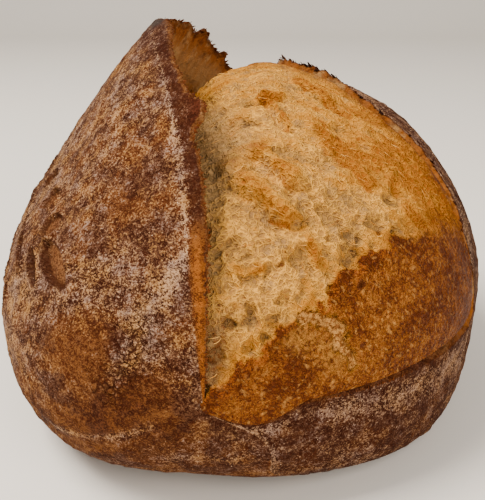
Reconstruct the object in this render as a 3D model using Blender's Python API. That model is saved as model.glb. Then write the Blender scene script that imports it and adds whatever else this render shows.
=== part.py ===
"""Wholemeal sourdough loaf, one solid: a round dough that opened along a single long score.

The dough left of the score lifted into a tall ear with a torn edge, and the crumb burst out to the right
of it, down to the lip where the floured crust starts again. Sizes are in metres. The score runs along Y
from the front end to the back end, X points right and Z up, and the loaf rests on its flat base.

Two numbers place a point: its station, an angle from 0 at the score's front end to 180 degrees at its
back end, and its place round the section there, which is an angle about the line between the two ends.
"""

import math

import bmesh
import bpy
import numpy as np
from mathutils import Matrix, Vector, noise

# Stations are in degrees from here on, and a pair of them is a stretch over which something changes.

# The dough
HALF_LENGTH = 0.103
AXIS_HEIGHT = 0.040
AXIS_X_FRONT = -0.010
AXIS_X_BACK = 0.014
FRONT_END_SHIFT = -0.004
FRONT_BEND_STATIONS = (10, 70)
REACH_LEFT = 0.089
REACH_RIGHT = 0.090
REACH_UP = 0.0755
REACH_DOWN_LEFT = 0.056
REACH_DOWN_RIGHT = 0.064
SQUARENESS_LEFT = 1.9
SQUARENESS_RIGHT = 1.95
SQUARENESS_DOWN_LEFT = 2.7
SQUARENESS_DOWN_RIGHT = 3.3
BLUNTNESS_FRONT = 0.82
BLUNTNESS_BACK = 0.97
BLUNTNESS_STATIONS = (60, 120)
DOWN_SIDE_BLEND = 0.6
TWIST = math.radians(2.0)
LEAN = -0.014
FLOOR_EASE = 0.012

# The ear and the groove behind it
EAR_PEAK_STATION = 95
EAR_LEAN = 18
EAR_LEAN_REACH_FRONT = 52
EAR_LEAN_REACH_BACK = 40
EAR_LIFT = 0.0215
EAR_FALL_FRONT = 0.7
EAR_FALL_BACK = 1.5
EAR_SPREAD = math.radians(48)
EAR_EDGE_THICKNESS = 0.0026
EAR_ROOT_THICKNESS = 0.0150
EAR_FOLD = math.radians(21)
EAR_TEAR = 0.0080
EAR_TEAR_PITCH = 0.0042
EAR_TEAR_SHALLOW = 0.25
EAR_TEAR_STATIONS = (80, 100)
GROOVE_DIP = 0.016
GROOVE_BEFORE_EAR = math.radians(25)
GROOVE_PAST_EAR = math.radians(20)
BLOOM_PAST_EAR = math.radians(12)
BLOOM_MEETS_GROOVE = 0.86

# The lip, the brown skin and the crumb: a climb is an angle in degrees and the stations that it takes
LIP_LEVEL = 1
LIP_FRONT_CLIMB = (30, 2, 14)
LIP_CLIMBS = ((18, 56, 62), (61, 54, 104))
LIP_RISE_STATIONS = (60, 110)
LIP_RISE_FRONT = 0.0010
LIP_RISE_BACK = 0.0030
LIP_SPREAD = math.radians(14)
LIP_STEP = math.radians(2.0)
SKIN_RISE = 0.0012
SKIN_EDGE_FRONT = 47
SKIN_EDGE_DROP = (22, 22, 75)
SKIN_OVER_LIP = 10
SKIN_FADE_BELOW = 5
SKIN_FADE_ABOVE = 4
CRUMB_RELIEF = 0.0034
CRUMB_GRAIN = 0.016

# The fold low on the left crust, in front
FOLD_DEPTH = 0.0022
FOLD_WIDTH = math.radians(4.6)
FOLD_LEVEL = 203
FOLD_CLIMB_BACK = (9, 26, 48)
FOLD_CLIMB_FRONT = (8, 3, 12)
FOLD_BEGINS = (2, 8)
FOLD_ENDS = (40, 52)
FOLD_ROLL_SHARE = 0.5
FOLD_ROLL_PLACE = 2.2

# Unevenness of the whole loaf: height and size of the swellings
SWELLINGS = ((0.0020, 0.050), (0.0007, 0.024))

# The mesh: facets along the score, and facets in each stretch of the section
FACETS_ALONG = 60
UNDER, LIP, BLOOM, INNER, CRUST = range(5)
FACETS_ROUND = {UNDER: 19, LIP: 1, BLOOM: 23, INNER: 6, CRUST: 27}
CRUST_CROWDING = 1.25

# The leaf cuts in the left crust: station and angle in degrees, length, width, and turn from the score
LEAF_DEPTH = 0.0021
LEAF_FULL_WIDTH = 0.006
LEAF_CUTS = (
    (43.5, 148.0, 0.0210, 0.0062, 4),
    (53.0, 145.5, 0.0095, 0.0060, 62),
    (61.5, 145.0, 0.0090, 0.0056, 62),
    (70.0, 145.5, 0.0095, 0.0056, 62),
    (79.0, 146.5, 0.0095, 0.0056, 60),
    (60.5, 157.0, 0.0270, 0.0034, -14),
    (49.5, 155.0, 0.0150, 0.0030, -12),
    (77.0, 154.0, 0.0190, 0.0030, -6),
    (56.0, 169.0, 0.0100, 0.0050, -58),
    (65.0, 167.0, 0.0100, 0.0050, -58),
    (74.0, 165.0, 0.0100, 0.0050, -58),
)


def smooth_step(value, low, high):
    """0 below low, 1 above high, and a smooth rise between them."""
    share = np.clip((value - low) / (high - low), 0, 1)
    return share * share * (3 - 2 * share)


def fullness(station):
    """Share of the middle section's size that the section at this station has: 0 at both ends."""
    toward_back = smooth_step(np.degrees(station), *BLUNTNESS_STATIONS)
    power = BLUNTNESS_FRONT * (1 - toward_back) + BLUNTNESS_BACK * toward_back
    return np.clip(np.sin(station), 0, 1) ** power


def axis_x(station):
    """Where the line between the ends runs: slightly askew, and bent to the left in front."""
    bent = FRONT_END_SHIFT * (1 - smooth_step(np.degrees(station), *FRONT_BEND_STATIONS))
    return AXIS_X_FRONT + (AXIS_X_BACK - AXIS_X_FRONT) * station / math.pi + bent


def ear_angle(station):
    """Where the ear's edge lies: straight above the axis at the ends, leaning left in the middle."""
    past_peak = np.degrees(station) - EAR_PEAK_STATION
    reach = np.where(past_peak < 0, EAR_LEAN_REACH_FRONT, EAR_LEAN_REACH_BACK)
    return np.radians(90 + EAR_LEAN * np.exp(-((past_peak / reach) ** 2)))


def climbed(station, climb):
    """Degrees climbed so far at this station."""
    rise, start, end = climb
    return rise * smooth_step(np.degrees(station), start, end)


def lip_angle(station):
    """Where the lip lies: low in front, at half height on the right, and near the top at the back."""
    below = LIP_FRONT_CLIMB[0] - climbed(station, LIP_FRONT_CLIMB)
    above = sum(climbed(station, climb) for climb in LIP_CLIMBS)
    return np.radians(LIP_LEVEL - below + above)


def squared_radius(angle, across, up, squareness):
    """Radius of an oval with the given half width and half height; more squareness fills its corners."""
    horizontal = np.abs(np.cos(angle) / across) ** squareness
    vertical = np.abs(np.sin(angle) / up) ** squareness
    return (horizontal + vertical) ** (-1 / squareness)


def dough_radius(angle, across, squareness):
    """Radius of the plain dough, before the ear, the groove and the lip."""
    down_left = squared_radius(angle, across, REACH_DOWN_LEFT, SQUARENESS_DOWN_LEFT)
    down_right = squared_radius(angle, across, REACH_DOWN_RIGHT, SQUARENESS_DOWN_RIGHT)
    toward_right = smooth_step(np.cos(angle), -DOWN_SIDE_BLEND, DOWN_SIDE_BLEND)
    below = down_left + (down_right - down_left) * toward_right
    return np.where(np.sin(angle) >= 0, squared_radius(angle, across, REACH_UP, squareness), below)


def section_point(angle, radius):
    """Across and up from the axis, for the middle section's size."""
    return np.stack([radius * np.cos(angle), radius * np.sin(angle)], axis=-1)


def torn_edge(station):
    """How far the ear's edge is torn up or down at a station: slightly in front, deeply past the peak."""
    deeper = smooth_step(np.degrees(station), *EAR_TEAR_STATIONS)
    depth = EAR_TEAR_SHALLOW + (1 - EAR_TEAR_SHALLOW) * deeper
    along = HALF_LENGTH * np.asarray(station) / EAR_TEAR_PITCH
    teeth = np.array([noise.noise(Vector((float(place), 3.7, 1.9))) for place in np.ravel(along)])
    return EAR_TEAR * depth * teeth.reshape(np.shape(along))


def fold_relief(station, angle):
    """A fold where the dough was gathered, with a low roll above it, in front on the left."""
    degrees = np.degrees(station)
    above = climbed(station, FOLD_CLIMB_BACK) + FOLD_CLIMB_FRONT[0] - climbed(station, FOLD_CLIMB_FRONT)
    offset = (angle - np.radians(FOLD_LEVEL - above)) / FOLD_WIDTH
    shown = smooth_step(degrees, *FOLD_BEGINS) * (1 - smooth_step(degrees, *FOLD_ENDS))
    roll = FOLD_ROLL_SHARE * np.exp(-((offset + FOLD_ROLL_PLACE) ** 2))
    return FOLD_DEPTH * shown * (roll - np.exp(-(offset**2)))


def crust_point(station, angle):
    """The left crust, which rises towards the ear's edge."""
    behind = np.clip((angle - ear_angle(station)) / EAR_SPREAD, 0, 1)
    fall = np.where(station < math.pi / 2, EAR_FALL_FRONT, EAR_FALL_BACK)
    lift = EAR_LIFT * np.clip(np.sin(station), 0, 1) ** fall * (1 - behind) ** 2
    tear = torn_edge(station) * (1 - behind) ** 12
    dough = dough_radius(angle, REACH_LEFT, SQUARENESS_LEFT)
    return section_point(angle, dough + lift + tear + fold_relief(station, angle))


def inner_point(station, share):
    """The ear's inner face, from the groove's bottom at share 0 to the edge at share 1."""
    angle = ear_angle(station) + EAR_FOLD * (1 - share)
    outer = crust_point(station, angle)
    step = math.radians(0.5)
    along = crust_point(station, angle + step) - outer
    along /= np.linalg.norm(along, axis=-1, keepdims=True)
    inward = np.stack([-along[..., 1], along[..., 0]], axis=-1)
    thickness = EAR_EDGE_THICKNESS + (EAR_ROOT_THICKNESS - EAR_EDGE_THICKNESS) * (1 - share)
    return outer + inward * thickness[..., None]


def bloom_point(station, share):
    """The burst crumb, from the lip at share 0 over the top to the groove's bottom at share 1."""
    start = lip_angle(station) + LIP_STEP
    ear = ear_angle(station)
    angle = start + (ear + BLOOM_PAST_EAR - start) * share
    dip = GROOVE_DIP * smooth_step(angle, ear - GROOVE_BEFORE_EAR, ear + GROOVE_PAST_EAR)
    open_crumb = section_point(angle, dough_radius(angle, REACH_RIGHT, SQUARENESS_RIGHT) - dip)
    toward_groove = smooth_step(share, BLOOM_MEETS_GROOVE, 1.0)[..., None]
    groove = inner_point(station, np.zeros_like(share))
    return open_crumb * (1 - toward_groove) + groove * toward_groove


def under_point(station, share):
    """From the middle of the base at share 0, up the floured right crust, to the lip at share 1."""
    base = math.radians(-90)
    lip = lip_angle(station)
    angle = base + (lip - base) * share
    toward_back = smooth_step(np.degrees(station), *LIP_RISE_STATIONS)
    rise = LIP_RISE_FRONT + (LIP_RISE_BACK - LIP_RISE_FRONT) * toward_back
    near_lip = np.clip(1 - (lip - angle) / LIP_SPREAD, 0, 1)
    return section_point(angle, dough_radius(angle, REACH_RIGHT, SQUARENESS_RIGHT) + rise * near_lip**2)


def lip_point(station, share):
    """The step from the lip's crest down to the crumb."""
    crest = under_point(station, np.ones_like(share))
    foot = bloom_point(station, np.zeros_like(share))
    return crest + (foot - crest) * share[..., None]


def outer_point(station, share):
    """From the ear's edge at share 0, down the left crust, to the middle of the base at share 1."""
    start = ear_angle(station)
    return crust_point(station, start + (math.radians(270) - start) * share**CRUST_CROWDING)


STRETCHES = {UNDER: under_point, LIP: lip_point, BLOOM: bloom_point, INNER: inner_point, CRUST: outer_point}


def brown_skin(station, angle):
    """1 where the burst dough has its own brown skin, low on the right, and 0 on the open crumb."""
    over_lip = np.degrees(lip_angle(station)) + SKIN_OVER_LIP
    edge = np.maximum(SKIN_EDGE_FRONT - climbed(station, SKIN_EDGE_DROP), over_lip)
    return 1 - smooth_step(np.degrees(angle), edge - SKIN_FADE_BELOW, edge + SKIN_FADE_ABOVE)


def swelling(point):
    """The loaf's own unevenness at a point."""
    return sum(height * noise.noise(Vector(point) / size) for height, size in SWELLINGS)


def crumb_swelling(point):
    """Bubbles and torn ridges of the open crumb at a point."""
    return CRUMB_RELIEF * (0.35 - abs(noise.noise(Vector(point) / CRUMB_GRAIN + Vector((7.3, 0, 0)))))


def stand(points):
    """Leans and twists the loaf slightly, and eases its underside onto the floor."""
    x, y, z = points[..., 0], points[..., 1], points[..., 2]
    leaning = x + LEAN * (z - AXIS_HEIGHT)
    eased = FLOOR_EASE * np.clip((z + FLOOR_EASE) / (2 * FLOOR_EASE), 0, 1) ** 2
    z = np.where(z < FLOOR_EASE, eased, z)
    turned_x = leaning * math.cos(TWIST) - y * math.sin(TWIST)
    turned_y = leaning * math.sin(TWIST) + y * math.cos(TWIST)
    return np.stack([turned_x, turned_y, z], axis=-1)


def loaf_points(station, stretch, share):
    """Points of the loaf at these stations, at these shares of one stretch of the section."""
    flat = STRETCHES[stretch](station, share)
    size = fullness(station)
    across, up = size * flat[..., 0], size * flat[..., 1]
    points = np.stack([axis_x(station) + across, -HALF_LENGTH * np.cos(station), AXIS_HEIGHT + up], axis=-1)
    outward = np.stack([across, np.zeros_like(across), up], axis=-1)
    outward /= np.maximum(np.linalg.norm(outward, axis=-1, keepdims=True), 1e-6)
    height = np.array([swelling(point) for point in points])
    if stretch == BLOOM:
        skin = brown_skin(station, np.arctan2(flat[..., 1], flat[..., 0]))
        crumb = np.array([crumb_swelling(point) for point in points])
        inside = smooth_step(share, 0, 0.08) * (1 - smooth_step(share, 0.85, 1))
        height += inside * (SKIN_RISE * skin + crumb * (1 - skin))
    return stand(points + outward * (height * size)[:, None])


def places_round():
    """The stretch and the share along it for each facet corner round the section."""
    return [
        (stretch, corner / count)
        for stretch, count in FACETS_ROUND.items()
        for corner in range(count)
    ]


def shape_sphere(mesh):
    """Moves each vertex of a sphere to the loaf's surface: latitude is the station, longitude the place."""
    stations, longitudes = [], []
    for vertex in mesh.verts:
        stations.append(math.acos(max(-1.0, min(1.0, vertex.co.z))))
        longitudes.append(math.atan2(vertex.co.y, vertex.co.x) % math.tau)
    stations = np.array(stations)
    places = places_round()
    corner = np.round(np.array(longitudes) / math.tau * len(places)).astype(int) % len(places)
    moved = np.zeros((len(stations), 3))
    for stretch in STRETCHES:
        picked = np.array([places[index][0] == stretch for index in corner])
        share = np.array([places[index][1] for index in corner[picked]])
        moved[picked] = loaf_points(stations[picked], stretch, share)
    for vertex, point in zip(mesh.verts, moved):
        vertex.co = point


def new_object(name, mesh, collection):
    """Makes an object of a bmesh, which is then freed."""
    data = bpy.data.meshes.new(name)
    mesh.to_mesh(data)
    mesh.free()
    obj = bpy.data.objects.new(name, data)
    collection.objects.link(obj)
    return obj


def bread_material():
    """Baked wholemeal crust, matt and reddish brown."""
    material = bpy.data.materials.new("baked_crust")
    material.use_nodes = True
    shader = material.node_tree.nodes["Principled BSDF"]
    shader.inputs["Base Color"].default_value = (0.33, 0.14, 0.05, 1)
    shader.inputs["Roughness"].default_value = 0.72
    shader.inputs["Metallic"].default_value = 0.0
    return material


def make_loaf(collection):
    """The loaf, standing on the origin, and how far it was moved to stand there."""
    mesh = bmesh.new()
    corners = sum(FACETS_ROUND.values())
    bmesh.ops.create_uvsphere(mesh, u_segments=corners, v_segments=FACETS_ALONG, radius=1)
    shape_sphere(mesh)
    bmesh.ops.recalc_face_normals(mesh, faces=mesh.faces)
    points = np.array([vertex.co for vertex in mesh.verts])
    middle = (points.min(axis=0) + points.max(axis=0)) / 2
    shift = Vector((-middle[0], -middle[1], 0))
    bmesh.ops.translate(mesh, vec=shift, verts=mesh.verts)
    loaf = new_object("sourdough_loaf", mesh, collection)
    loaf.data.materials.append(bread_material())
    loaf.data.shade_smooth()
    return loaf, shift


def crust_frame(station_degrees, angle_degrees, turn_degrees):
    """A matrix on the left crust: Z out of it, and X along the score, turned about Z."""
    station = math.radians(station_degrees)
    start = ear_angle(station)

    def crust_at(at_station, at_angle):
        share = ((at_angle - start) / (math.radians(270) - start)) ** (1 / CRUST_CROWDING)
        return Vector(loaf_points(np.array([at_station]), CRUST, np.array([share]))[0])

    angle = math.radians(angle_degrees)
    step = math.radians(1)
    middle = crust_at(station, angle)
    along = (crust_at(station + step, angle) - middle).normalized()
    down = (crust_at(station, angle + step) - middle).normalized()
    outward = along.cross(down).normalized()
    if outward.dot(middle - Vector((0, middle.y, AXIS_HEIGHT))) < 0:
        outward = -outward
    sideways = outward.cross(along).normalized()
    rotation = Matrix((along, sideways, outward)).transposed().to_4x4()
    return Matrix.Translation(middle) @ rotation @ Matrix.Rotation(math.radians(turn_degrees), 4, "Z")


def make_leaf_cutter(number, cut, shift, collection):
    """A lens that cuts one leaf into the crust."""
    station, angle, length, width, turn = cut
    mesh = bmesh.new()
    bmesh.ops.create_uvsphere(mesh, u_segments=12, v_segments=6, radius=1)
    depth = LEAF_DEPTH * (1 + width / LEAF_FULL_WIDTH) / 2
    bmesh.ops.scale(mesh, vec=(length / 2, width / 2, depth), verts=mesh.verts)
    placed = Matrix.Translation(shift) @ crust_frame(station, angle, turn)
    bmesh.ops.transform(mesh, matrix=placed, verts=mesh.verts)
    cutter = new_object(f"leaf_cutter_{number}", mesh, collection)
    cutter.hide_render = True
    cutter.display_type = "WIRE"
    return cutter


def cut_leaves(loaf, shift, collection):
    """Cuts the sprig of leaves into the left crust."""
    for number, cut in enumerate(LEAF_CUTS):
        make_leaf_cutter(number, cut, shift, collection)
    boolean = loaf.modifiers.new("leaf_cuts", "BOOLEAN")
    boolean.operation = "DIFFERENCE"
    boolean.operand_type = "COLLECTION"
    boolean.collection = collection
    boolean.solver = "EXACT"


def main():
    """Builds the loaf in its own collection, and its cutters in another."""
    for obj in list(bpy.data.objects):
        bpy.data.objects.remove(obj)
    bread = bpy.data.collections.new("sourdough_loaf")
    cutters = bpy.data.collections.new("cutters")
    for collection in (bread, cutters):
        bpy.context.scene.collection.children.link(collection)
    loaf, shift = make_loaf(bread)
    cut_leaves(loaf, shift, cutters)


main()
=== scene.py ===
"""Looks of an oval wholemeal sourdough loaf that burst along one long score.

The loaf's surface is placed by two angles. The station runs along the score, from 0 at its front end to 180
degrees at its back end. The angle runs round the section there: 0 to the right, 90 up, 180 to the left, 270
down. The crust, the burst crumb and the floured right side are one closed piece each, shaped by those two
angles and then given their relief by geometry nodes. Fine strands, torn shards and flour lie on them.
"""

import logging
import math
from collections.abc import Iterable, Sequence
from dataclasses import dataclass, field
from enum import Enum

import bpy
import numpy as np
from bpy.types import Material, Mesh, Node, NodeSocket, NodeTree, Object
from mathutils import Euler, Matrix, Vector, noise


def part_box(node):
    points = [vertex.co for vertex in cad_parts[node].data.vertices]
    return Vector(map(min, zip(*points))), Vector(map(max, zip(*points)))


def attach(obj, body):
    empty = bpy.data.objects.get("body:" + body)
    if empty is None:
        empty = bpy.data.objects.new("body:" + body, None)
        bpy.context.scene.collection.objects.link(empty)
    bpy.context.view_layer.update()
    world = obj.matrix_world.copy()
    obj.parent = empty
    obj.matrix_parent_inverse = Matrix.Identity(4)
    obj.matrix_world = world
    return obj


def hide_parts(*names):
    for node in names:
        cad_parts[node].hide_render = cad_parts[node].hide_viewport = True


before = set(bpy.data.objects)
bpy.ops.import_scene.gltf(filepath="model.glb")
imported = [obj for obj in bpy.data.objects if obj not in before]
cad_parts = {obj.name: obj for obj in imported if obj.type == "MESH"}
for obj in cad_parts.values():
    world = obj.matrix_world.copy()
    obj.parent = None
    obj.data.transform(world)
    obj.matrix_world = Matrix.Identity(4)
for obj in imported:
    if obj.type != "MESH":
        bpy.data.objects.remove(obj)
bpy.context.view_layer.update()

NODE = "sourdough_loaf"
BODY = "root"

Array = np.ndarray
Colour = tuple[float, ...]
Stretch = tuple[float, float]
Track = tuple[tuple[float, float], ...]

log = logging.getLogger("loaf")


class Kind(Enum):
    """What a mesh attribute holds at each vertex."""

    NUMBER = "FLOAT"
    DIRECTION = "FLOAT_VECTOR"


class Operation(Enum):
    """Arithmetic that a node does on numbers or on vectors."""

    ADD = "ADD"
    SUBTRACT = "SUBTRACT"
    MULTIPLY = "MULTIPLY"
    SCALE = "SCALE"
    ABSOLUTE = "ABSOLUTE"


def smooth_step(value: Array | float, low: float, high: float) -> Array:
    """Smooth rise from 0 below low to 1 above high.

    Args:
        value: what is compared.
        low: where the rise starts.
        high: where the rise ends.

    Returns:
        The share of the rise, from 0 to 1.
    """
    share = np.clip((value - low) / (high - low), 0, 1)
    return share * share * (3 - 2 * share)


def smooth_fall(value: Array | float, low: float, high: float) -> Array:
    """Smooth fall from 1 below low to 0 above high."""
    return 1 - smooth_step(value, low, high)


def rolling(points: Array, size: float, offset: float = 0.0) -> Array:
    """Smooth random values at points, the same on each run.

    Args:
        points: places, with X, Y and Z on the last axis, in metres.
        size: how far apart the swells lie, in metres.
        offset: moves the pattern along X, in swells.

    Returns:
        One value from -1 to 1 for each point.
    """
    scaled = points.reshape(-1, 3) / size + np.array([offset, 0.0, 0.0])
    values = np.fromiter((noise.noise(place) for place in scaled.tolist()), float, len(scaled))
    return values.reshape(points.shape[:-1])


def paint(red: int, green: int, blue: int) -> Colour:
    """The linear colour that a shader takes, from one as a screen shows it, from 0 to 255."""
    shares = (channel / 255 for channel in (red, green, blue))
    return (*(c / 12.92 if c <= 0.04045 else ((c + 0.055) / 1.055) ** 2.4 for c in shares), 1.0)


def write_attribute(mesh: Mesh, name: str, values: Array) -> None:
    """Stores one number or one direction for each vertex of a mesh.

    Args:
        mesh: the mesh.
        name: the attribute's name.
        values: one number or three for each vertex.
    """
    kind = Kind.DIRECTION if values.ndim == 2 else Kind.NUMBER
    attribute = mesh.attributes.new(name, kind.value, "POINT")
    part = "vector" if kind is Kind.DIRECTION else "value"
    attribute.data.foreach_set(part, values.astype(np.float32).ravel())


@dataclass(frozen=True)
class Dough:
    """The loaf's form: its named sizes, and the places on it.

    Sizes are in metres and radians. A level or a climb of a line on the loaf, and a stretch of the score over
    which something changes, are in degrees.
    """

    half_length: float = 0.103
    axis_height: float = 0.040
    axis_x_front: float = -0.010
    axis_x_back: float = 0.014
    front_end_shift: float = -0.004
    front_bend: Stretch = (10, 70)
    reach_left: float = 0.089
    reach_right: float = 0.090
    reach_up: float = 0.0755
    reach_down_left: float = 0.056
    reach_down_right: float = 0.064
    squareness_left: float = 1.9
    squareness_right: float = 1.95
    squareness_down_left: float = 2.7
    squareness_down_right: float = 3.3
    bluntness_front: float = 0.82
    bluntness_back: float = 0.97
    bluntness_change: Stretch = (60, 120)
    down_side_blend: float = 0.6
    twist: float = math.radians(2.0)
    lean: float = -0.014
    floor_ease: float = 0.012
    ear_peak: float = 95
    ear_tilt: float = 18
    ear_tilt_front: float = 52
    ear_tilt_back: float = 40
    ear_lift: float = 0.0215
    ear_fall_front: float = 0.7
    ear_fall_back: float = 1.5
    ear_spread: float = math.radians(48)
    ear_edge_thickness: float = 0.0026
    ear_root_thickness: float = 0.0150
    ear_fold: float = math.radians(21)
    groove_dip: float = 0.016
    groove_before_ear: float = math.radians(25)
    groove_past_ear: float = math.radians(20)
    bloom_past_ear: float = math.radians(12)
    bloom_meets_groove: float = 0.86
    lip_level: float = 1
    lip_drop: float = 30
    lip_drop_ends: Stretch = (2, 14)
    lip_climbs: tuple[tuple[float, Stretch], ...] = ((18, (56, 62)), (61, (54, 104)))
    lip_rise_change: Stretch = (60, 110)
    lip_rise_front: float = 0.0010
    lip_rise_back: float = 0.0030
    lip_spread: float = math.radians(14)
    lip_step: float = math.radians(2.0)
    fold_depth: float = 0.0022
    fold_width: float = math.radians(4.6)
    fold_level: float = 203
    fold_climb: float = 9
    fold_climb_ends: Stretch = (26, 48)
    fold_tip: float = 8
    fold_tip_ends: Stretch = (3, 12)
    fold_begins: Stretch = (2, 8)
    fold_finishes: Stretch = (40, 52)
    fold_roll: float = 0.5
    fold_roll_place: float = 2.2
    skin_level: float = 47
    skin_drop: float = 22
    skin_drop_ends: Stretch = (22, 75)
    skin_over_lip: float = 10
    skin_fade: Stretch = (-5, 4)
    swellings: tuple[tuple[float, float], ...] = ((0.0020, 0.050), (0.0007, 0.024))

    def along(self, station: Array, stretch: Stretch) -> Array:
        """Smooth rise from 0 to 1 over a stretch of the score, in degrees."""
        return smooth_step(np.degrees(station), *stretch)

    def round_points(self, radius: Array, angle: Array) -> Array:
        """Points across and up in a section, from their radius and angle."""
        return np.stack([radius * np.cos(angle), radius * np.sin(angle)], axis=-1)

    def fullness(self, station: Array) -> Array:
        """Share of the middle section's size that a section has.

        Args:
            station: the stations.

        Returns:
            The share, from 0 to 1.
        """
        toward_back = self.along(station, self.bluntness_change)
        power = self.bluntness_front * (1 - toward_back) + self.bluntness_back * toward_back
        return np.clip(np.sin(station), 0, 1) ** power

    def axis_x(self, station: Array) -> Array:
        """Where the line between the score's ends runs."""
        bent = self.front_end_shift * (1 - self.along(station, self.front_bend))
        return self.axis_x_front + (self.axis_x_back - self.axis_x_front) * station / math.pi + bent

    def ear_angle(self, station: Array) -> Array:
        """Where the ear's edge lies, before it is torn.

        Args:
            station: the stations.

        Returns:
            The angle, in radians.
        """
        past_peak = np.degrees(station) - self.ear_peak
        spread = np.where(past_peak < 0, self.ear_tilt_front, self.ear_tilt_back)
        return np.radians(90 + self.ear_tilt * np.exp(-((past_peak / spread) ** 2)))

    def lip_angle(self, station: Array) -> Array:
        """Where the floured crust starts again, right of the burst crumb.

        Args:
            station: the stations.

        Returns:
            The angle, in radians.
        """
        low_front = self.lip_drop * (1 - self.along(station, self.lip_drop_ends))
        climb = sum(rise * self.along(station, ends) for rise, ends in self.lip_climbs)
        return np.radians(self.lip_level - low_front + climb)

    def squared_radius(self, angle: Array, across: float, up: float, squareness: float) -> Array:
        """Radius of an oval of the given half width and half height, with its corners filled.

        Args:
            angle: the angles round the section.
            across: the half width, in metres.
            up: the half height, in metres.
            squareness: 2 for an oval, more for fuller corners.

        Returns:
            The radius, in metres.
        """
        horizontal = np.abs(np.cos(angle) / across) ** squareness
        vertical = np.abs(np.sin(angle) / up) ** squareness
        return (horizontal + vertical) ** (-1 / squareness)

    def dough_radius(self, angle: Array, across: float, squareness: float) -> Array:
        """Radius of the plain dough, before the ear, the groove and the lip.

        Args:
            angle: the angles round the section.
            across: the half width, in metres.
            squareness: 2 for an oval, more for fuller corners.

        Returns:
            The radius, in metres.
        """
        down_left = self.squared_radius(angle, across, self.reach_down_left, self.squareness_down_left)
        down_right = self.squared_radius(angle, across, self.reach_down_right, self.squareness_down_right)
        toward_right = smooth_step(np.cos(angle), -self.down_side_blend, self.down_side_blend)
        below = down_left + (down_right - down_left) * toward_right
        above = self.squared_radius(angle, across, self.reach_up, squareness)
        return np.where(np.sin(angle) >= 0, above, below)

    def fold_relief(self, station: Array, angle: Array) -> Array:
        """Height of the fold low on the left in front: a crease with a roll above it.

        Args:
            station: the stations.
            angle: the angles round the section.

        Returns:
            The height, in metres.
        """
        climbed = self.fold_climb * self.along(station, self.fold_climb_ends)
        tip = self.fold_tip * (1 - self.along(station, self.fold_tip_ends))
        offset = (angle - np.radians(self.fold_level - climbed - tip)) / self.fold_width
        shown = self.along(station, self.fold_begins) * (1 - self.along(station, self.fold_finishes))
        roll = self.fold_roll * np.exp(-((offset + self.fold_roll_place) ** 2))
        return self.fold_depth * shown * (roll - np.exp(-(offset**2)))

    def crust(self, station: Array, angle: Array) -> Array:
        """The left crust in the section's plane, from the ear's edge down and under the loaf.

        Args:
            station: the stations.
            angle: the angles round the section.

        Returns:
            Points across and up.
        """
        behind = np.clip((angle - self.ear_angle(station)) / self.ear_spread, -0.25, 1)
        fall = np.where(station < math.pi / 2, self.ear_fall_front, self.ear_fall_back)
        lift = self.ear_lift * np.clip(np.sin(station), 0, 1) ** fall * (1 - behind) ** 2
        under = angle > math.radians(270)
        left = self.dough_radius(angle, self.reach_left, self.squareness_left)
        right = self.dough_radius(angle, self.reach_right, self.squareness_right)
        radius = np.where(under, right, left) + lift + self.fold_relief(station, angle)
        return self.round_points(radius, angle)

    def crust_inward(self, station: Array, angle: Array) -> tuple[Array, Array]:
        """The crust's inward direction and its direction away from the ear's edge, in the section.

        Args:
            station: the stations.
            angle: the angles round the section.

        Returns:
            The two unit directions.
        """
        along = self.crust(station, angle + math.radians(0.5)) - self.crust(station, angle)
        along /= np.linalg.norm(along, axis=-1, keepdims=True)
        return np.stack([-along[..., 1], along[..., 0]], axis=-1), along

    def inner(self, station: Array, share: Array, shift: Array) -> Array:
        """The ear's inner face, from the groove at share 0 to the edge at share 1.

        Args:
            station: the angle along the score.
            share: the share of the way to the edge.
            shift: how far the torn edge lies past the even edge, as an angle.

        Returns:
            Points in the section's plane.
        """
        angle = self.ear_angle(station) + self.ear_fold * (1 - share) - shift * share**3
        inward, _ = self.crust_inward(station, angle)
        thickness = self.ear_edge_thickness
        thickness += (self.ear_root_thickness - self.ear_edge_thickness) * (1 - share)
        return self.crust(station, angle) + inward * thickness[..., None]

    def bloom(self, station: Array, share: Array) -> Array:
        """The burst crumb, from the lip's foot at share 0 to the groove at share 1.

        Args:
            station: the stations.
            share: how far from lip to groove.

        Returns:
            Points across and up.
        """
        ear = self.ear_angle(station)
        start = self.lip_angle(station) + self.lip_step
        angle = start + (ear + self.bloom_past_ear - start) * share
        dip = self.groove_dip * smooth_step(angle, ear - self.groove_before_ear, ear + self.groove_past_ear)
        radius = self.dough_radius(angle, self.reach_right, self.squareness_right) - dip
        crumb = self.round_points(radius, angle)
        toward_groove = smooth_step(share, self.bloom_meets_groove, 1.0)[..., None]
        groove = self.inner(station, np.zeros_like(share), np.zeros_like(share))
        return crumb * (1 - toward_groove) + groove * toward_groove

    def under(self, station: Array, angle: Array, torn: Array) -> Array:
        """The floured right crust at an angle, whose lip is raised, and further raised where torn.

        Args:
            station: the stations.
            angle: the angles round the section.
            torn: how far the lip is raised.

        Returns:
            Points across and up.
        """
        lip = self.lip_angle(station)
        toward_back = self.along(station, self.lip_rise_change)
        rise = self.lip_rise_front + (self.lip_rise_back - self.lip_rise_front) * toward_back
        near_lip = np.clip(1 - (lip - angle) / self.lip_spread, 0, 1)
        radius = self.dough_radius(angle, self.reach_right, self.squareness_right)
        return self.round_points(radius + rise * near_lip**2 + torn * near_lip**8, angle)

    def skin_edge(self, station: Array) -> Array:
        """Upper edge of the brown skin on the burst dough, in degrees round the section.

        Args:
            station: the stations.

        Returns:
            The angle, in degrees.
        """
        over_lip = np.degrees(self.lip_angle(station)) + self.skin_over_lip
        drop = self.skin_drop * self.along(station, self.skin_drop_ends)
        return np.maximum(self.skin_level - drop, over_lip)

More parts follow.
